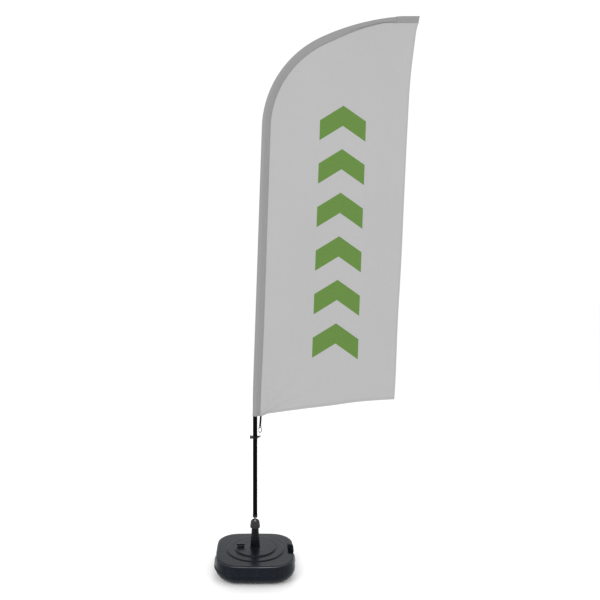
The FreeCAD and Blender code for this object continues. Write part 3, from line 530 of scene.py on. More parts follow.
def sleeve_depth(distance):
    return np.interp(distance, SLEEVE_STATIONS[:, 0], SLEEVE_STATIONS[:, 2])


def seam_allowance(width):
    """The flat strip beyond the pocket's seam, narrower where the sleeve is drawn in."""
    return float(np.clip(0.8 * (width - 0.0215), 0.002, 0.007))


def sleeve_section(width, depth, count):
    """Half a pocket's outline from the seam to the outer edge: (towards the flag, half depth)."""
    allowance = seam_allowance(width)
    radius_x = min(0.014, (width - 0.004) / 2)
    centre = radius_x - SLEEVE_OUTER
    seam = width - SLEEVE_OUTER - allowance
    reach = max(seam - centre, radius_x * 1.05)
    touch = math.acos(radius_x / reach)
    flat_count = count // 2
    outline = []
    for share in np.linspace(0, 1, 4, endpoint=False):
        outline.append((width - SLEEVE_OUTER - share * allowance, SEAM_HALF))
    touch_point = (centre + radius_x * math.cos(touch), depth * math.sin(touch))
    for share in np.linspace(0, 1, flat_count, endpoint=False):
        y = SEAM_HALF + (touch_point[1] - SEAM_HALF) * share
        outline.append((seam + (touch_point[0] - seam) * share, y))
    for angle in np.linspace(touch, math.pi, count - flat_count):
        outline.append((centre + radius_x * math.cos(angle), depth * math.sin(angle)))
    return np.array(outline)


def place_beside(distance, towards, depth):
    """A point of the flag: distance along the mast, towards the flag, and depth along Y."""
    x, z, heading = mast_point(distance)
    return (x + towards * math.cos(heading), depth, z - towards * math.sin(heading))


def build_flag_sleeve(material):
    """The pocket round the mast: two walls of cloth, puckered, with a flared foot."""
    rows = 420
    half_count = 26
    shares = np.linspace(0, 1, rows)
    outer_points, inner_points, flat = [], [], []
    for share in shares:
        distance = share * SLEEVE_LENGTH
        width = sleeve_width(distance)
        seam_line_at = width - SLEEVE_OUTER - seam_allowance(width)
        half = sleeve_section(width, sleeve_depth(distance), half_count)
        loop = np.concatenate([half, half[-2::-1] * (1, -1)])
        loop = loop[:-1] if np.allclose(loop[0], loop[-1]) else loop
        length = arc_lengths(loop)
        slack = smooth_step(0.000, 0.012, loop[:, 0] + 0.004)
        crease = ripple(distance * 9, length * 60, 2.3, 11) * 0.0007
        crease += ripple(distance * 34, length * 40, 1.7, 12) * 0.00035
        foot = math.exp(-distance / 0.05)
        crease += ripple(distance * 60, length * 90, 2.0, 13) * 0.0012 * foot
        tall = np.sign(loop[:, 1]) * crease * (0.25 + slack)
        pucker = ripple(distance * 120, length * 14, 1.0, 14) * 0.00045
        bend = smooth_step(1.62, 1.75, distance) * (1 - smooth_step(2.60, 2.68, distance))
        tall = tall + np.sign(loop[:, 1]) * pucker * bend
        flare = 1 + 0.10 * math.exp(-distance / 0.012)
        for index, (towards, depth) in enumerate(loop):
            on_seam = towards > seam_line_at - 0.001
            lift = 0 if on_seam else tall[index]
            wide = towards * (flare if towards < 0 else 1)
            outer_points.append(place_beside(distance, wide, depth * (1 if on_seam else flare) + lift))
            shrink = 1 - SLEEVE_CLOTH / max(abs(depth), 0.0012)
            inner_towards = wide + SLEEVE_CLOTH * (1 if towards < -0.006 else 0)
            inner_points.append(place_beside(distance, inner_towards,
                                             depth * shrink * (1 if on_seam else flare) + lift))
            flat.append((distance * 0.02 + length[index], distance))
    columns = len(outer_points) // rows
    start = rows * columns
    faces = grid_faces(rows, columns, wrap=True)
    faces += grid_faces(rows, columns, wrap=True, start=start, flip=True)
    for row, flip in ((0, True), (rows - 1, False)):
        for column in range(columns):
            a = row * columns + column
            b = row * columns + (column + 1) % columns
            quad = (a, b, start + b, start + a)
            faces.append(quad[::-1] if flip else quad)
    sleeve = make_piece("flag_sleeve_cloth", outer_points + inner_points, faces, material,
                        "mast", flat + flat)
    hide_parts("flag_sleeve")


# ---- panel

FOOT_EDGE = np.array([
    (0.030, 0.8515), (0.044, 0.8535), (0.067, 0.8630), (0.112, 0.8700), (0.247, 0.8885),
    (0.427, 0.9105), (0.561, 0.9290), (0.651, 0.9375), (0.741, 0.9430), (0.784, 0.9450),
])
FREE_EDGE = np.array([
    (0.784, 0.945), (0.8105, 1.504), (0.8374, 2.066), (0.8583, 2.516), (0.8700, 2.685),
    (0.8863, 2.853), (0.8999, 2.966), (0.9080, 3.022), (0.9190, 3.060), (0.9215, 3.066),
])
HEM_SIDE = 0.008
HEM_FOOT = 0.014
PANEL_HALF = 0.00022
HEM_HALF = 0.00060
TOP_SEAM_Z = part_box("tip_pocket")[0].z
POCKET_MOUTH_X = 0.800


def along_curve(points, shares):
    """Points at even shares of a smooth curve through given points."""
    points = np.asarray(points, dtype=float)
    lengths = arc_lengths(points)
    lengths /= lengths[-1]
    slopes = np.gradient(points, lengths, axis=0)
    result = []
    for share in np.atleast_1d(shares):
        index = min(np.searchsorted(lengths, share, side="right") - 1, len(points) - 2)
        span = lengths[index + 1] - lengths[index]
        t = (share - lengths[index]) / span
        h00 = 2 * t ** 3 - 3 * t ** 2 + 1
        h10 = t ** 3 - 2 * t ** 2 + t
        h01 = -2 * t ** 3 + 3 * t ** 2
        h11 = t ** 3 - t ** 2
        result.append(h00 * points[index] + h10 * span * slopes[index]
                      + h01 * points[index + 1] + h11 * span * slopes[index + 1])
    return np.array(result)


def seam_line(shares):
    """The panel's edge under the sleeve's seam, as (x, z)."""
    line = []
    for share in shares:
        distance = share * SLEEVE_LENGTH
        width = sleeve_width(distance)
        x, _, z = place_beside(distance, width - SLEEVE_OUTER - 0.6 * seam_allowance(width), 0)
        line.append((x, z))
    return np.array(line)


def panel_places(u, v):
    """Places of the panel in the XZ plane for shares u across and v up, blended from its edges."""
    left = seam_line(v)
    right = along_curve(FREE_EDGE, v)
    foot = along_curve(FOOT_EDGE, u)
    top = along_curve([left[-1], (POCKET_MOUTH_X, TOP_SEAM_Z + 0.002),
                       (FREE_EDGE[-1][0], TOP_SEAM_Z + 0.004)], u)
    left[0] = foot[0]
    across = u[None, :, None]
    up = v[:, None, None]
    ruled = (1 - across) * left[:, None, :] + across * right[:, None, :]
    lofted = (1 - up) * foot[None, :, :] + up * top[None, :, :]
    corners = ((1 - across) * (1 - up) * foot[0] + across * (1 - up) * foot[-1]
               + (1 - across) * up * top[0] + across * up * top[-1])
    return ruled + lofted - corners


def panel_sway(x, z, seam_gap, edge_gap, v):
    """How far the cloth stands off the flat: soft folds that die out at the seam and the top.

    seam_gap and edge_gap are the distances from the sleeve's seam and from the free edge.
    """
    free = smooth_step(0.006, 0.05, seam_gap) * (1 - smooth_step(0.94, 1.0, v))
    broad = smooth_step(0.0, 0.22, seam_gap) * (1 - smooth_step(0.80, 1.0, v))
    sway = ripple(x, z, 3.2, 21) * 0.010 * broad
    pull = np.exp(-((x - 0.05) ** 2 + (z - 0.87) ** 2) / 0.16)
    angle = np.arctan2(z - 0.86, x - 0.03)
    sway = sway + np.sin(angle * 17 + 1.3) * 0.0026 * pull * free
    fringe = np.exp(-(edge_gap / 0.13) ** 2) * (1 - smooth_step(0.85, 1.0, v))
    sway = sway + np.sin(z * 9.5 + 0.6) * 0.0045 * fringe
    puckers = np.exp(-seam_gap / 0.035) * free
    sway = sway + ripple(z * 30, x * 5, 3.0, 23) * 0.0016 * puckers
    foot = np.exp(-v * 45)
    return sway + ripple(x * 26, z * 4, 2.2, 24) * 0.0010 * foot * free


def packed_shares(count, near_low, near_high, finest):
    """Shares from 0 to 1, close together near both ends so that hems keep their shape."""
    middle = np.linspace(near_low, 1 - near_high, count)
    low = np.arange(0, near_low, finest)
    high = np.arange(1 - near_high, 1, finest)[1:]
    return np.concatenate([low, middle, high, [1.0]])


def build_flag_panel(material):
    """The printed cloth with its folded hems; front and back faces joined round the edge."""
    u = packed_shares(90, 0.016, 0.020, 0.0016)
    v = packed_shares(230, 0.012, 0.004, 0.0008)
    places = panel_places(u, v)
    x, z = places[:, :, 0], places[:, :, 1]
    uu, vv = np.meshgrid(u, v)
    width = np.linalg.norm(places[:, -1] - places[:, 0], axis=1)[:, None]
    side_gap = (1 - uu) * width
    sway = panel_sway(x, z, uu * width, side_gap, vv)
    height = np.linalg.norm(np.diff(places, axis=0), axis=2).sum(axis=0)[None, :]
    foot_gap = vv * height
    hem = np.maximum(1 - smooth_step(HEM_SIDE - 0.0012, HEM_SIDE, side_gap),
                     1 - smooth_step(HEM_FOOT - 0.0012, HEM_FOOT, foot_gap))
    half = PANEL_HALF + (HEM_HALF - PANEL_HALF) * hem
    rows, columns = x.shape
    front = np.stack([x, sway - half, z], axis=2).reshape(-1, 3)
    back = np.stack([x, sway + half, z], axis=2).reshape(-1, 3)
    flat = np.stack([x, z], axis=2).reshape(-1, 2)
    start = rows * columns
    faces = grid_faces(rows, columns) + grid_faces(rows, columns, start=start, flip=True)
    rim = [row * columns for row in range(rows)][::-1]
    rim += list(range(1, columns))
    rim += [row * columns + columns - 1 for row in range(1, rows)]
    rim += [(rows - 1) * columns + column for column in range(columns - 2, 0, -1)]
    for a, b in zip(rim, rim[1:] + rim[:1]):
        faces.append((b, a, start + a, start + b))
    panel = make_piece("flag_panel_cloth", np.concatenate([front, back]), faces, material,
                       "mast", np.concatenate([flat, flat]))
    # Marks the hems for the painted shade of the doubled cloth.
    layers = panel.data.attributes.new(DOUBLE_LAYER_SHADE, "FLOAT", "POINT")
    layers.data.foreach_set("value", np.concatenate([hem.ravel(), hem.ravel()]).astype(np.float32))
    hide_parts("flag_panel")


# ---- tip pocket

POCKET_LOW, POCKET_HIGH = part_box("tip_pocket")
CAP_LOW, CAP_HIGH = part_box("tip_cap")
TIP_Z = (CAP_LOW.z + CAP_HIGH.z) / 2
POCKET_SLANT = 0.0075
POCKET_LAP = 0.005
POCKET_CLOTH = 0.0006


def pocket_place(share, level, side, inset):
    """A point of the pocket: share along it, level and side round it, inset from its outside."""
    low, high = POCKET_LOW.z + inset, POCKET_HIGH.z - inset
    start = POCKET_LOW.x - POCKET_LAP
    mouth = 1 - float(smooth_step(0.0, 0.35, share))
    high -= 0.0022 * mouth
    plain_x = start + (POCKET_HIGH.x - inset - start) * share
    rod_z = TIP_Z - max(CAP_HIGH.x - plain_x, 0) ** 2 / (2 * TOP_RADIUS)
    z = rod_z + (high - rod_z) * level if level > 0 else rod_z + (rod_z - low) * level
    x = plain_x - POCKET_SLANT * share * (POCKET_HIGH.z - z) / (POCKET_HIGH.z - POCKET_LOW.z)
    closing = 1 - 0.93 * float(smooth_step(0.962, 1.0, share))
    hump = abs(side) ** (0.75 if level > 0 else 1.7)
    round_rod = math.exp(-((z - rod_z) / 0.0105) ** 2)
    crease = float(ripple(np.array(x * 60), np.array(z * 60), 1.5, 31)) * 0.0004 * abs(side)
    y = 0.0009 - inset + 0.0084 * closing * hump * round_rod + crease
    return (x, math.copysign(max(y, 0.0002), side), z)


def build_tip_pocket(material):
    """A flat reinforcing pocket over the rod's end, open towards the sleeve."""
    columns = 44
    shares = np.concatenate([np.linspace(0, 0.95, 46), np.linspace(0.958, 1, 9)])
    path = [(share, 0.0) for share in shares[::-1]] + [(share, POCKET_CLOTH) for share in shares]
    points, flat = [], []
    for share, inset in path:
        for column in range(columns):
            turn = 2 * math.pi * (column + 0.5) / columns
            place = pocket_place(share, math.cos(turn), math.sin(turn), inset)
            points.append(place)
            flat.append((place[0], place[2]))
    faces = grid_faces(len(path), columns, wrap=True, flip=True)
    faces += end_caps(len(path), columns, flip=True)
    pouch = make_piece("tip_pocket_cloth", points, faces, material, "mast", flat)
    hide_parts("tip_pocket")


# ---- stitching

# Pitch, length of each stitch and half thickness of the thread.
SEAM_STITCH = (0.0042, 0.0032, 0.00028)
HEM_STITCH = (0.0045, 0.0034, 0.00025)
BOX_STITCH = (0.0024, 0.0019, 0.0002)
THREAD_LIFT = 0.00012


def stitch_row(path, out, pitch, length, thick):
    """Short rounded stitches along a path; out is the way that they stand off the cloth."""
    path = np.asarray(path, dtype=float)
    spans = arc_lengths(path)
    out = np.asarray(out, dtype=float)
    parts = []
    count = int(spans[-1] / pitch)
    for number in range(count):
        middle = (number + 0.5) * pitch
        ends = [np.array([np.interp(middle + shift * length / 2, spans, path[:, axis])
                          for axis in range(3)]) for shift in (-1, 0, 1)]
        along = ends[2] - ends[0]
        along /= max(np.linalg.norm(along), 1e-9)
        across = np.cross(out, along)
        profile = ((-1.0, 0.25, -0.3), (-0.55, 1.0, 0.5), (0.55, 1.0, 0.5), (1.0, 0.25, -0.3))
        points = []
        for reach, girth, rise in profile:
            centre = ends[1] + along * reach * length / 2 + out * thick * rise
            for corner in range(5):
                turn = 2 * math.pi * corner / 5
                points.append(centre + thick * girth * (math.cos(turn) * across
                                                        + math.sin(turn) * out * 0.8))
        faces = grid_faces(4, 5, wrap=True) + [(4, 3, 2, 1, 0), (15, 16, 17, 18, 19)]
        parts.append((points, faces))
    return parts


def seam_path(share_in, side, count=260):
    """A line along the sleeve's seam allowance, just off the cloth's face."""
    path = []
    for distance in np.linspace(0.002, SLEEVE_LENGTH - POCKET_LAP, count):
        width = sleeve_width(distance)
        towards = width - SLEEVE_OUTER - share_in * seam_allowance(width)
        path.append(place_beside(distance, towards, side * (SEAM_HALF + THREAD_LIFT)))
    return path


def hem_lines(side):
    """The two hems' stitch lines, on one face of the panel."""
    shares = np.linspace(0.0, 0.995, 300)
    coarse = np.linspace(0, 1, 60)
    lift = side * (HEM_HALF + 0.00006)
    places = panel_places(coarse, shares)
    free_edge = []
    for row, share in zip(places, shares):
        width = np.linalg.norm(row[-1] - row[0])
        u = 1 - (HEM_SIDE - 0.0014) / width
        x, z = np.interp(u, coarse, row[:, 0]), np.interp(u, coarse, row[:, 1])
        y = panel_sway(x, z, u * width, (1 - u) * width, share)
        free_edge.append((x, float(y) + lift, z))
    columns = np.linspace(0.03, 0.99, 200)
    near_foot = 0.02
    low, above = panel_places(columns, np.array([0.0, near_foot]))
    width = np.linalg.norm(low[-1] - low[0])
    foot = []
    for start, finish, u in zip(low, above, columns):
        share = (HEM_FOOT - 0.0018) / np.linalg.norm(finish - start)
        x, z = start + (finish - start) * share
        y = panel_sway(x, z, u * width, (1 - u) * width, near_foot * share)
        foot.append((x, float(y) + lift, z))
    return free_edge, foot


def sew(name, rows, thread):
    points, faces = join_parts(rows)
    make_piece(name, points, faces, thread, "mast")


def build_stitching(panel_thread, sleeve_thread):
    """Rows of thread: the sleeve's double seam, the hems and the box on the tip pocket."""
    parts = []
    for side in (-1, 1):
        out = (0, side, 0)
        for share_in in (0.25, 0.78):
            parts += stitch_row(seam_path(share_in, side), out, *SEAM_STITCH)
        margin = 0.003
        left, right = POCKET_LOW.x, POCKET_HIGH.x - POCKET_SLANT - margin
        low, high = POCKET_LOW.z + margin, POCKET_HIGH.z - margin
        corners = [(left, low), (right, low), (right + POCKET_SLANT * 0.85, high)]
        for (xa, za), (xb, zb) in zip(corners, corners[1:]):
            line = [(xa, side * 0.0015, za), (xb, side * 0.0015, zb)]
            parts += stitch_row(line, out, *SEAM_STITCH)
    sew("sleeve_stitching", parts, sleeve_thread)

    parts = []
    for side in (-1, 1):
        for line in hem_lines(side):
            parts += stitch_row(line, (0, side, 0), *HEM_STITCH)
    sew("hem_stitching", parts, panel_thread)


# ---- strap

STRAP_WIDTH = 0.0112
STRAP_THICK = 0.0016
STRAP_SEWN = 0.036
EYE_WIRE = 0.0012
SEAM_X = 0.0325


def strap_line(eye_x, wire_z):
    """The webbing's middle line: down behind the cloth, round the hook's eye and a short way up."""
    behind = SEAM_HALF + STRAP_THICK / 2 + 0.0012
    bend = EYE_WIRE + STRAP_THICK / 2 + 0.0001
    lap = STRAP_THICK + 0.0002
    line = [(SEAM_X, behind, z) for z in np.linspace(SLEEVE_FOOT + STRAP_SEWN, SLEEVE_FOOT + 0.004, 9)]
    top = SLEEVE_FOOT + 0.001
    for share in np.linspace(0, 1, 24):
        x = SEAM_X + (eye_x - SEAM_X) * share
        y = behind + (bend - behind) * float(smooth_step(0.5, 1, share))
        line.append((x, y, top + (wire_z - top) * share))
    for angle in np.linspace(0, math.pi, 12)[1:-1]:
        line.append((eye_x, bend * math.cos(angle), wire_z - bend * math.sin(angle)))
    for share in np.linspace(0, 1, 14):
        x = eye_x + (SEAM_X - eye_x) * share * 0.4
        y = -bend + (bend + behind * 0.5 - lap) * float(smooth_step(0, 0.6, share))
        line.append((x, y, wire_z + 0.021 * share))
    return np.array(line)


def build_strap(material, thread):
    """Elastic webbing sewn behind the sleeve's seam, looped through the hook's eye below."""
    eye_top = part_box("snap_hook")[1].z
    strap_low, strap_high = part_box("tension_strap")
    eye_x = (strap_low.x + strap_high.x) / 2
    line = strap_line(eye_x, eye_top - EYE_WIRE)
    across = np.array([1.0, 0, 0])
    out = np.cross(headings(line), across)
    out /= np.linalg.norm(out, axis=1)[:, None]
    sides = 20
    section = []
    for turn in np.linspace(0, 2 * math.pi, sides, endpoint=False):
        wide = math.copysign(abs(math.cos(turn)) ** 0.35, math.cos(turn)) * STRAP_WIDTH / 2
        tall = math.copysign(abs(math.sin(turn)) ** 0.6, math.sin(turn)) * STRAP_THICK / 2
        section.append((wide, tall))
    points, flat = [], []
    for centre, normal, length in zip(line, out, arc_lengths(line)):
        for wide, tall in section:
            points.append(centre + across * wide + normal * tall)
            flat.append((wide, length))
    faces = grid_faces(len(line), sides, wrap=True) + end_caps(len(line), sides)
    strap = make_piece("tension_strap_web", points, faces, material, None, flat)
    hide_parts("tension_strap")
    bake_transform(strap)

    back = SEAM_HALF + STRAP_THICK + 0.0014
    front = SEAM_HALF + THREAD_LIFT
    low, high = SLEEVE_FOOT + 0.006, SLEEVE_FOOT + STRAP_SEWN - 0.003
    left, right = SEAM_X - 0.0033, SEAM_X + 0.0033
    box = ((left, low), (right, low), (right, high), (left, high), (left, low), (right, high))
    parts = []
    for corners, y, side in ((box, back, 1), (box[:5], -front, -1)):
        for (xa, za), (xb, zb) in zip(corners, corners[1:]):
            parts += stitch_row([(xa, y, za), (xb, y, zb)], (0, side, 0), *BOX_STITCH)
    sew("strap_stitching", parts, thread)


# ---- tank

TANK_LOW, TANK_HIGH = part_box("base_tank")
TANK_HALF = (TANK_HIGH.x - TANK_LOW.x) / 2
TANK_BULGE = 2.2
TANK_CORNER = 0.126
CREASE_Z = 0.101
# Heights of the tank's crease that get a painted highlight, a light streak all round it.
CREASE_HIGHLIGHT_HEIGHTS = (0.0999, 0.1016)
STEP_SLOPE = 0.010
STEP_GROOVE = 0.0012
STEP_TOP, MIDDLE_DECK, OUTER_DECK = 0.117, 0.1108, 0.1062
INNER_STEP, OUTER_STEP = 0.1085, 0.1555
STEP_EASE = 1.7
DECK_START, DECK_BEND, DECK_RIM, DECK_FALL = 0.1705, 0.201, 0.2122, 0.0014
CREASE_ROUND, CREASE_DROP = 0.0040, 0.0028
WIDEST_Z = 0.052
WELL_RADIUS = 0.0201
FOOT_HALF = 0.168
GRIP_INNER, GRIP_HALF, GRIP_FLOOR = 0.182, 0.060, 0.058
GRIP_CORNER = 0.012
LIP_RADIUS = 0.0016
DECK_EDGE = 0.2135
NECK_BORE, NECK_RADIUS, NECK_TOP = 0.0125, 0.015, 0.124
BEAD_INNER, BEAD_OUTER, BEAD_HEIGHT = 0.0202, 0.0235, 0.0014
RIDGE_HEIGHT, PARTING_LINE = 0.0052, 0.0006
RIDGE_MIDDLE, RIDGE_FADE = 205, (22, 40)


def square_reach(angle, half, corner):
    """Distance from the axis to a rounded square with bulged sides, in one direction."""
    fold = angle % (math.pi / 2)
    fold = min(fold, math.pi / 2 - fold)
    side = TANK_BULGE - half
    reach = TANK_BULGE - corner
    middle = (math.sqrt(2 * reach * reach - side * side) - side) / 2
    near = middle * TANK_BULGE / reach
    far = (side + middle) * TANK_BULGE / reach - side
    if fold <= math.atan2(near, far):
        along = side * math.cos(fold)
        return math.sqrt(along * along + TANK_BULGE ** 2 - side * side) - along
    lean = middle * (math.cos(fold) + math.sin(fold))
    return lean + math.sqrt(lean * lean - 2 * middle * middle + corner * corner)


def tank_levels():
    """Rings of the tank from its well, over the deck and down to its foot.

    Each is (height, radius or half width, squareness, share of the pinched ridge).
    """
    def step_down(edge, top, foot):
        rows = []
        for share in np.linspace(0, 1, 9):
            rows.append((top - (top - foot + STEP_GROOVE) * share ** STEP_EASE,
                         edge + STEP_SLOPE * share, 0, 0))
        rows.append((foot - STEP_GROOVE * 0.3, edge + STEP_SLOPE + 0.0012, 0, 0))
        rows.append((foot, edge + STEP_SLOPE + 0.0030, 0, 0))
        return rows

    levels = [(0.060, WELL_RADIUS, 0, 0), (STEP_TOP, WELL_RADIUS, 0, 0),
              (STEP_TOP + 0.0004, 0.060, 0, 0), (STEP_TOP, 0.102, 0, 0)]
    levels += step_down(INNER_STEP, STEP_TOP, MIDDLE_DECK)
    levels += [(MIDDLE_DECK + 0.0001, 0.140, 0, 0)]
    levels += step_down(OUTER_STEP, MIDDLE_DECK, OUTER_DECK)
    for share in np.linspace(0.08, 1, 9):
        levels.append((OUTER_DECK - DECK_FALL * share,
                       DECK_START + (DECK_BEND - DECK_START) * share, share, 0))
    levels += [(0.1040, 0.2050, 1, 0), (0.1026, 0.2078, 1, 0), (0.1020, 0.2094, 1, 0),
               (0.1024, 0.2108, 1, 0)]
    for angle in np.linspace(math.radians(84), math.radians(2), 8):
        levels.append((CREASE_Z - CREASE_DROP + CREASE_ROUND * math.sin(angle),
                       DECK_RIM + CREASE_ROUND * math.cos(angle), 1, 0))
    for share in np.linspace(0.1, 1, 6):
        levels.append((CREASE_Z - 0.003 + (WIDEST_Z + 0.006 - CREASE_Z + 0.003) * share,
                       0.2162 + (TANK_HALF - 0.2164) * math.sin(share * math.pi / 2), 1, 0))
    levels += [(WIDEST_Z + 0.003, TANK_HALF - 0.0002, 1, 1), (WIDEST_Z + 0.001, TANK_HALF - 0.0002, 1, 1),
               (WIDEST_Z - 0.002, TANK_HALF - 0.0004, 1, 0)]
    power = 1.75
    for share in np.linspace(0.1, 1, 16):
        turn = share * math.pi / 2
        size = FOOT_HALF + (TANK_HALF - FOOT_HALF) * math.cos(turn) ** (2 / power)
        levels.append(((WIDEST_Z - 0.002) * (1 - math.sin(turn) ** (2 / power)), size, 1, 0))
    levels += [(0.0, 0.120, 0.5, 0), (0.0, 0.060, 0, 0), (0.0, 0.002, 0, 0)]
    return levels


def pinch_ridge(angle):
    """How far the moulding's pinched-off flash stands out: on the tank's left side only."""
    away = abs((math.degrees(angle) - RIDGE_MIDDLE + 180) % 360 - 180)
    return RIDGE_HEIGHT * (1 - float(smooth_step(*RIDGE_FADE, away))) + PARTING_LINE


def ring_tube(centre, inner, outer, low, high, count=48):
    """A short closed tube about a vertical axis, as points and faces."""
    profile = [(inner, low), (outer, low), (outer, high), (inner, high)]
    points = []
    for radius, height in profile:
        for number in range(count):
            turn = 2 * math.pi * number / count
            points.append((centre[0] + radius * math.cos(turn), centre[1] + radius * math.sin(turn),
                           height))
    faces = grid_faces(4, count, wrap=True)
    for number in range(count):
        following = (number + 1) % count
        faces.append((3 * count + number, 3 * count + following, following, number))
    return points, faces


def build_tank(material):
    """The blow-moulded tank: stepped deck, soft crease, drawn-in foot and a hand-grip notch."""
    count = 360
    levels = tank_levels()
    points = []
    for height, size, square, ridge in levels:
        corner = TANK_CORNER - (TANK_HALF - size)
        for number in range(count):
            angle = 2 * math.pi * number / count
            reach = size
            if square:
                reach += (square_reach(angle, size, corner) - size) * square
            reach += pinch_ridge(angle) * ridge
            points.append((reach * math.cos(angle), reach * math.sin(angle), height))
    faces = grid_faces(len(levels), count, wrap=True, flip=True)
    faces += end_caps(len(levels), count, flip=True)
    tank = make_piece("tank_shell", points, faces, material)
    cut_grip(tank)
    tank.data.set_sharp_from_angle(angle=math.radians(38))

    cap_low, cap_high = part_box("filler_cap")
    centre = ((cap_low.x + cap_high.x) / 2, 0)
    neck = ring_tube(centre, NECK_BORE, NECK_RADIUS, STEP_TOP - 0.002, NECK_TOP)
    bead = ring_tube(centre, BEAD_INNER, BEAD_OUTER, STEP_TOP - 0.001, STEP_TOP + BEAD_HEIGHT)
    points, faces = join_parts([neck, bead, grip_lip()])
    trim = make_piece("tank_mouldings", points, faces, material, "base")
    trim.data.set_sharp_from_angle(angle=math.radians(38))
    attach(tank, "base")
    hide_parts("base_tank")


def grip_outline(inner, half, corner, outer, steps=8):
    """The notch's plan, counter-clockwise, with rounded inner corners."""
    outline = [(outer, -half), (outer, half)]
    for centre_y, begin, end in ((half - corner, 90, 180), (-(half - corner), 180, 270)):
        for angle in np.linspace(begin, end, steps):
            turn = math.radians(angle)
            outline.append((inner + corner + corner * math.cos(turn), centre_y + corner * math.sin(turn)))
    return outline


def cut_grip(tank):
    """Cuts the hand-grip notch out of the tank's right edge."""
    outline = grip_outline(GRIP_INNER, GRIP_HALF, GRIP_CORNER, TANK_HALF + 0.02)
    count = len(outline)
    points = []
    for height, spread in ((GRIP_FLOOR, 0.0), (GRIP_FLOOR + 0.006, 0.0015), (0.140, 0.003)):
        for x, y in outline:
            grow = 1 + spread / GRIP_HALF
            points.append((x - spread, y * grow, height))
    faces = grid_faces(3, count, wrap=True) + end_caps(3, count)
    mesh = bpy.data.meshes.new("grip_cutter")
    mesh.from_pydata(points, [], faces)
    cutter = new_object("grip_cutter", mesh)
    cut = tank.modifiers.new("grip", "BOOLEAN")
    cut.operation = "DIFFERENCE"
    cut.solver = "EXACT"
    cut.object = cutter
    bpy.context.view_layer.update()
    made = bpy.data.meshes.new_from_object(tank.evaluated_get(bpy.context.evaluated_depsgraph_get()))
    tank.modifiers.clear()
    tank.data = made
    bpy.data.objects.remove(cutter)


def deck_height(reach):
    """Height of the deck between the outer step and the crease."""
    return float(np.interp(reach, (DECK_START, DECK_BEND, 0.205, DECK_RIM),
                           (OUTER_DECK, OUTER_DECK - DECK_FALL, 0.1040, 0.1022)))


def grip_lip():
    """The moulded lip round the notch: over the deck and down both sides."""
    half = GRIP_HALF + 0.002
    path = []
    outline = grip_outline(GRIP_INNER - 0.002, half, GRIP_CORNER, DECK_EDGE)[1:] + [(DECK_EDGE, -half)]
    for x, y in outline:
        path.append((x, y, deck_height(x)))
    wall = [(0.2163, 0.097), (0.2180, 0.085), (0.2195, 0.070), (0.2198, 0.0600)]
    first = [(x, half, z) for x, z in wall][::-1]
    last = [(x, -half, z) for x, z in wall]
    return closed_tube(first + path + last, LIP_RADIUS, 8, up=(0.3, 0.2, 1))


# ---- assembly

def dress(names, material):
    """Gives carried-over nodes a finished material."""
    for name in names:
        for slot in NODES[name].material_slots:
            slot.material = material
        NODES[name].data.set_sharp_from_angle(angle=math.radians(32))


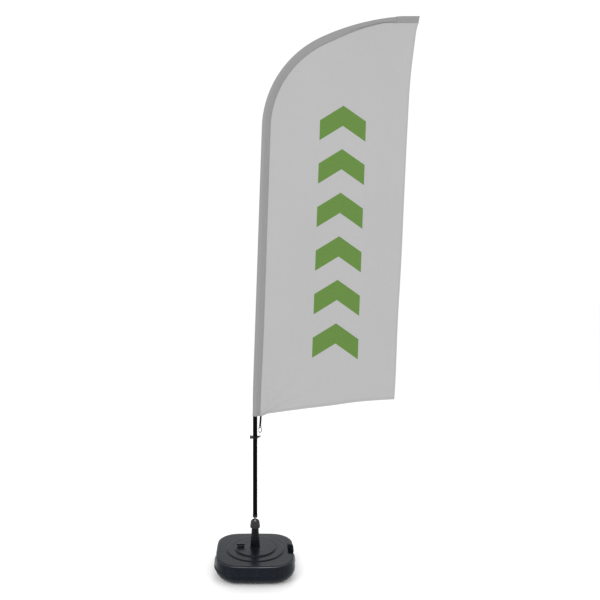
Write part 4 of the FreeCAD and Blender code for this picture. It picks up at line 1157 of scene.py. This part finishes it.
def build_all():
    panel_colour = rgb(166, 166, 166)
    # The sleeve is painted a darker grey than the panel: painted shade for the light that shines through
    # the single panel but less through the doubled sleeve round the black pole.
    sleeve_colour = rgb(138, 138, 139)
    print_green = rgb(88, 122, 54)
    panel_cloth = cloth("flag_polyester", panel_colour, arrow_mask, print_green)
    sleeve_cloth = cloth("sleeve_polyester", sleeve_colour)
    panel_thread = thread_material("hem_thread", shade(panel_colour, 0.8))
    sleeve_thread = thread_material("sleeve_thread", shade(sleeve_colour, 0.75))
    black_thread = thread_material("strap_thread", rgb(30, 30, 30))

    build_flag_sleeve(sleeve_cloth)
    build_flag_panel(panel_cloth)
    build_tip_pocket(sleeve_cloth)
    build_stitching(panel_thread, sleeve_thread)
    build_strap(webbing("strap_elastic", rgb(9, 9, 9)), black_thread)
    # The tank's crease gets a painted highlight in this light grey tone, which also lightens its rubbed
    # edges.
    build_tank(moulded_plastic("tank_polyethylene", rgb(10, 16, 25), 0.28, shine=0.12,
                               wear_and_highlight_tone=rgb(105, 110, 117), highlight_heights=CREASE_HIGHLIGHT_HEIGHTS))

    dress(["base_stem"],
          moulded_plastic("stem_gloss", rgb(6, 8, 13), 0.26, grain=0.00002, wear=0.05, shine=0.12))
    dress(["clamp_nut"], moulded_plastic("nut_plastic", rgb(34, 34, 34), 0.46, shine=0.28))
    dress(["clamp_collet", "sleeve_plug", "pole_end_bush", "tip_cap"],
          moulded_plastic("black_nylon", rgb(12, 12, 12), 0.42, grain_scale=1500, shine=0.25))
    dress(["filler_cap"], moulded_plastic("cap_plastic", rgb(10, 15, 22), 0.32, shine=0.25))
    dress(["filler_seal"], moulded_plastic("seal_rubber", rgb(22, 22, 22), 0.75, wear=0.1, shine=0.2))
    dress(["water_ballast"], moulded_plastic("water_filling", rgb(150, 175, 182), 0.10, wear=0))
    dress(["spindle_shank", "inner_spacer", "axle_circlip"],
          metal("spindle_steel", rgb(205, 205, 207), 0.30, (1, 1, 14)))
    dress(["bearing_inner_races", "bearing_outer_races", "bearing_balls"],
          metal("bearing_steel", rgb(200, 200, 204), 0.14, (1, 1, 9)))
    dress(["bearing_cages"], moulded_plastic("cage_nylon", rgb(120, 84, 44), 0.5, grain_scale=2500))
    dress(["turning_sleeve", "outer_spacer", "top_ferrule"],
          metal("turned_aluminium", rgb(190, 191, 195), 0.26, (1, 1, 16)))
    dress(["pole_lower", "pole_middle"],
          coated_metal("pole_anodised", rgb(4, 4, 5), 0.34, (1, 1, 0.05), shine=0.03, wear=0))
    dress(["top_rod"], coated_metal("rod_fibre", rgb(20, 20, 20), 0.45, (1, 1, 0.1), wear=0))
    dress(["tension_collar", "thumbscrew_knob"],
          moulded_plastic("collar_plastic", rgb(6, 6, 7), 0.30, grain_scale=1500, shine=0.12))
    dress(["thumbscrew_shank", "gate_pin"], metal("screw_steel", rgb(205, 205, 205), 0.28, (9, 1, 1)))
    dress(["collar_pad"], metal("pad_brass", rgb(196, 160, 90), 0.30, (6, 1, 1)))
    dress(["tension_link"], metal("link_plating", rgb(214, 214, 214), 0.16, (1, 3, 3)))
    dress(["snap_hook"], coated_metal("hook_coating", rgb(5, 5, 5), 0.36, shine=0.06, wear=0))
    dress(["hook_gate"], metal("gate_steel", rgb(120, 120, 120), 0.36, (1, 1, 10)))


build_camera()
build_studio()
build_all()
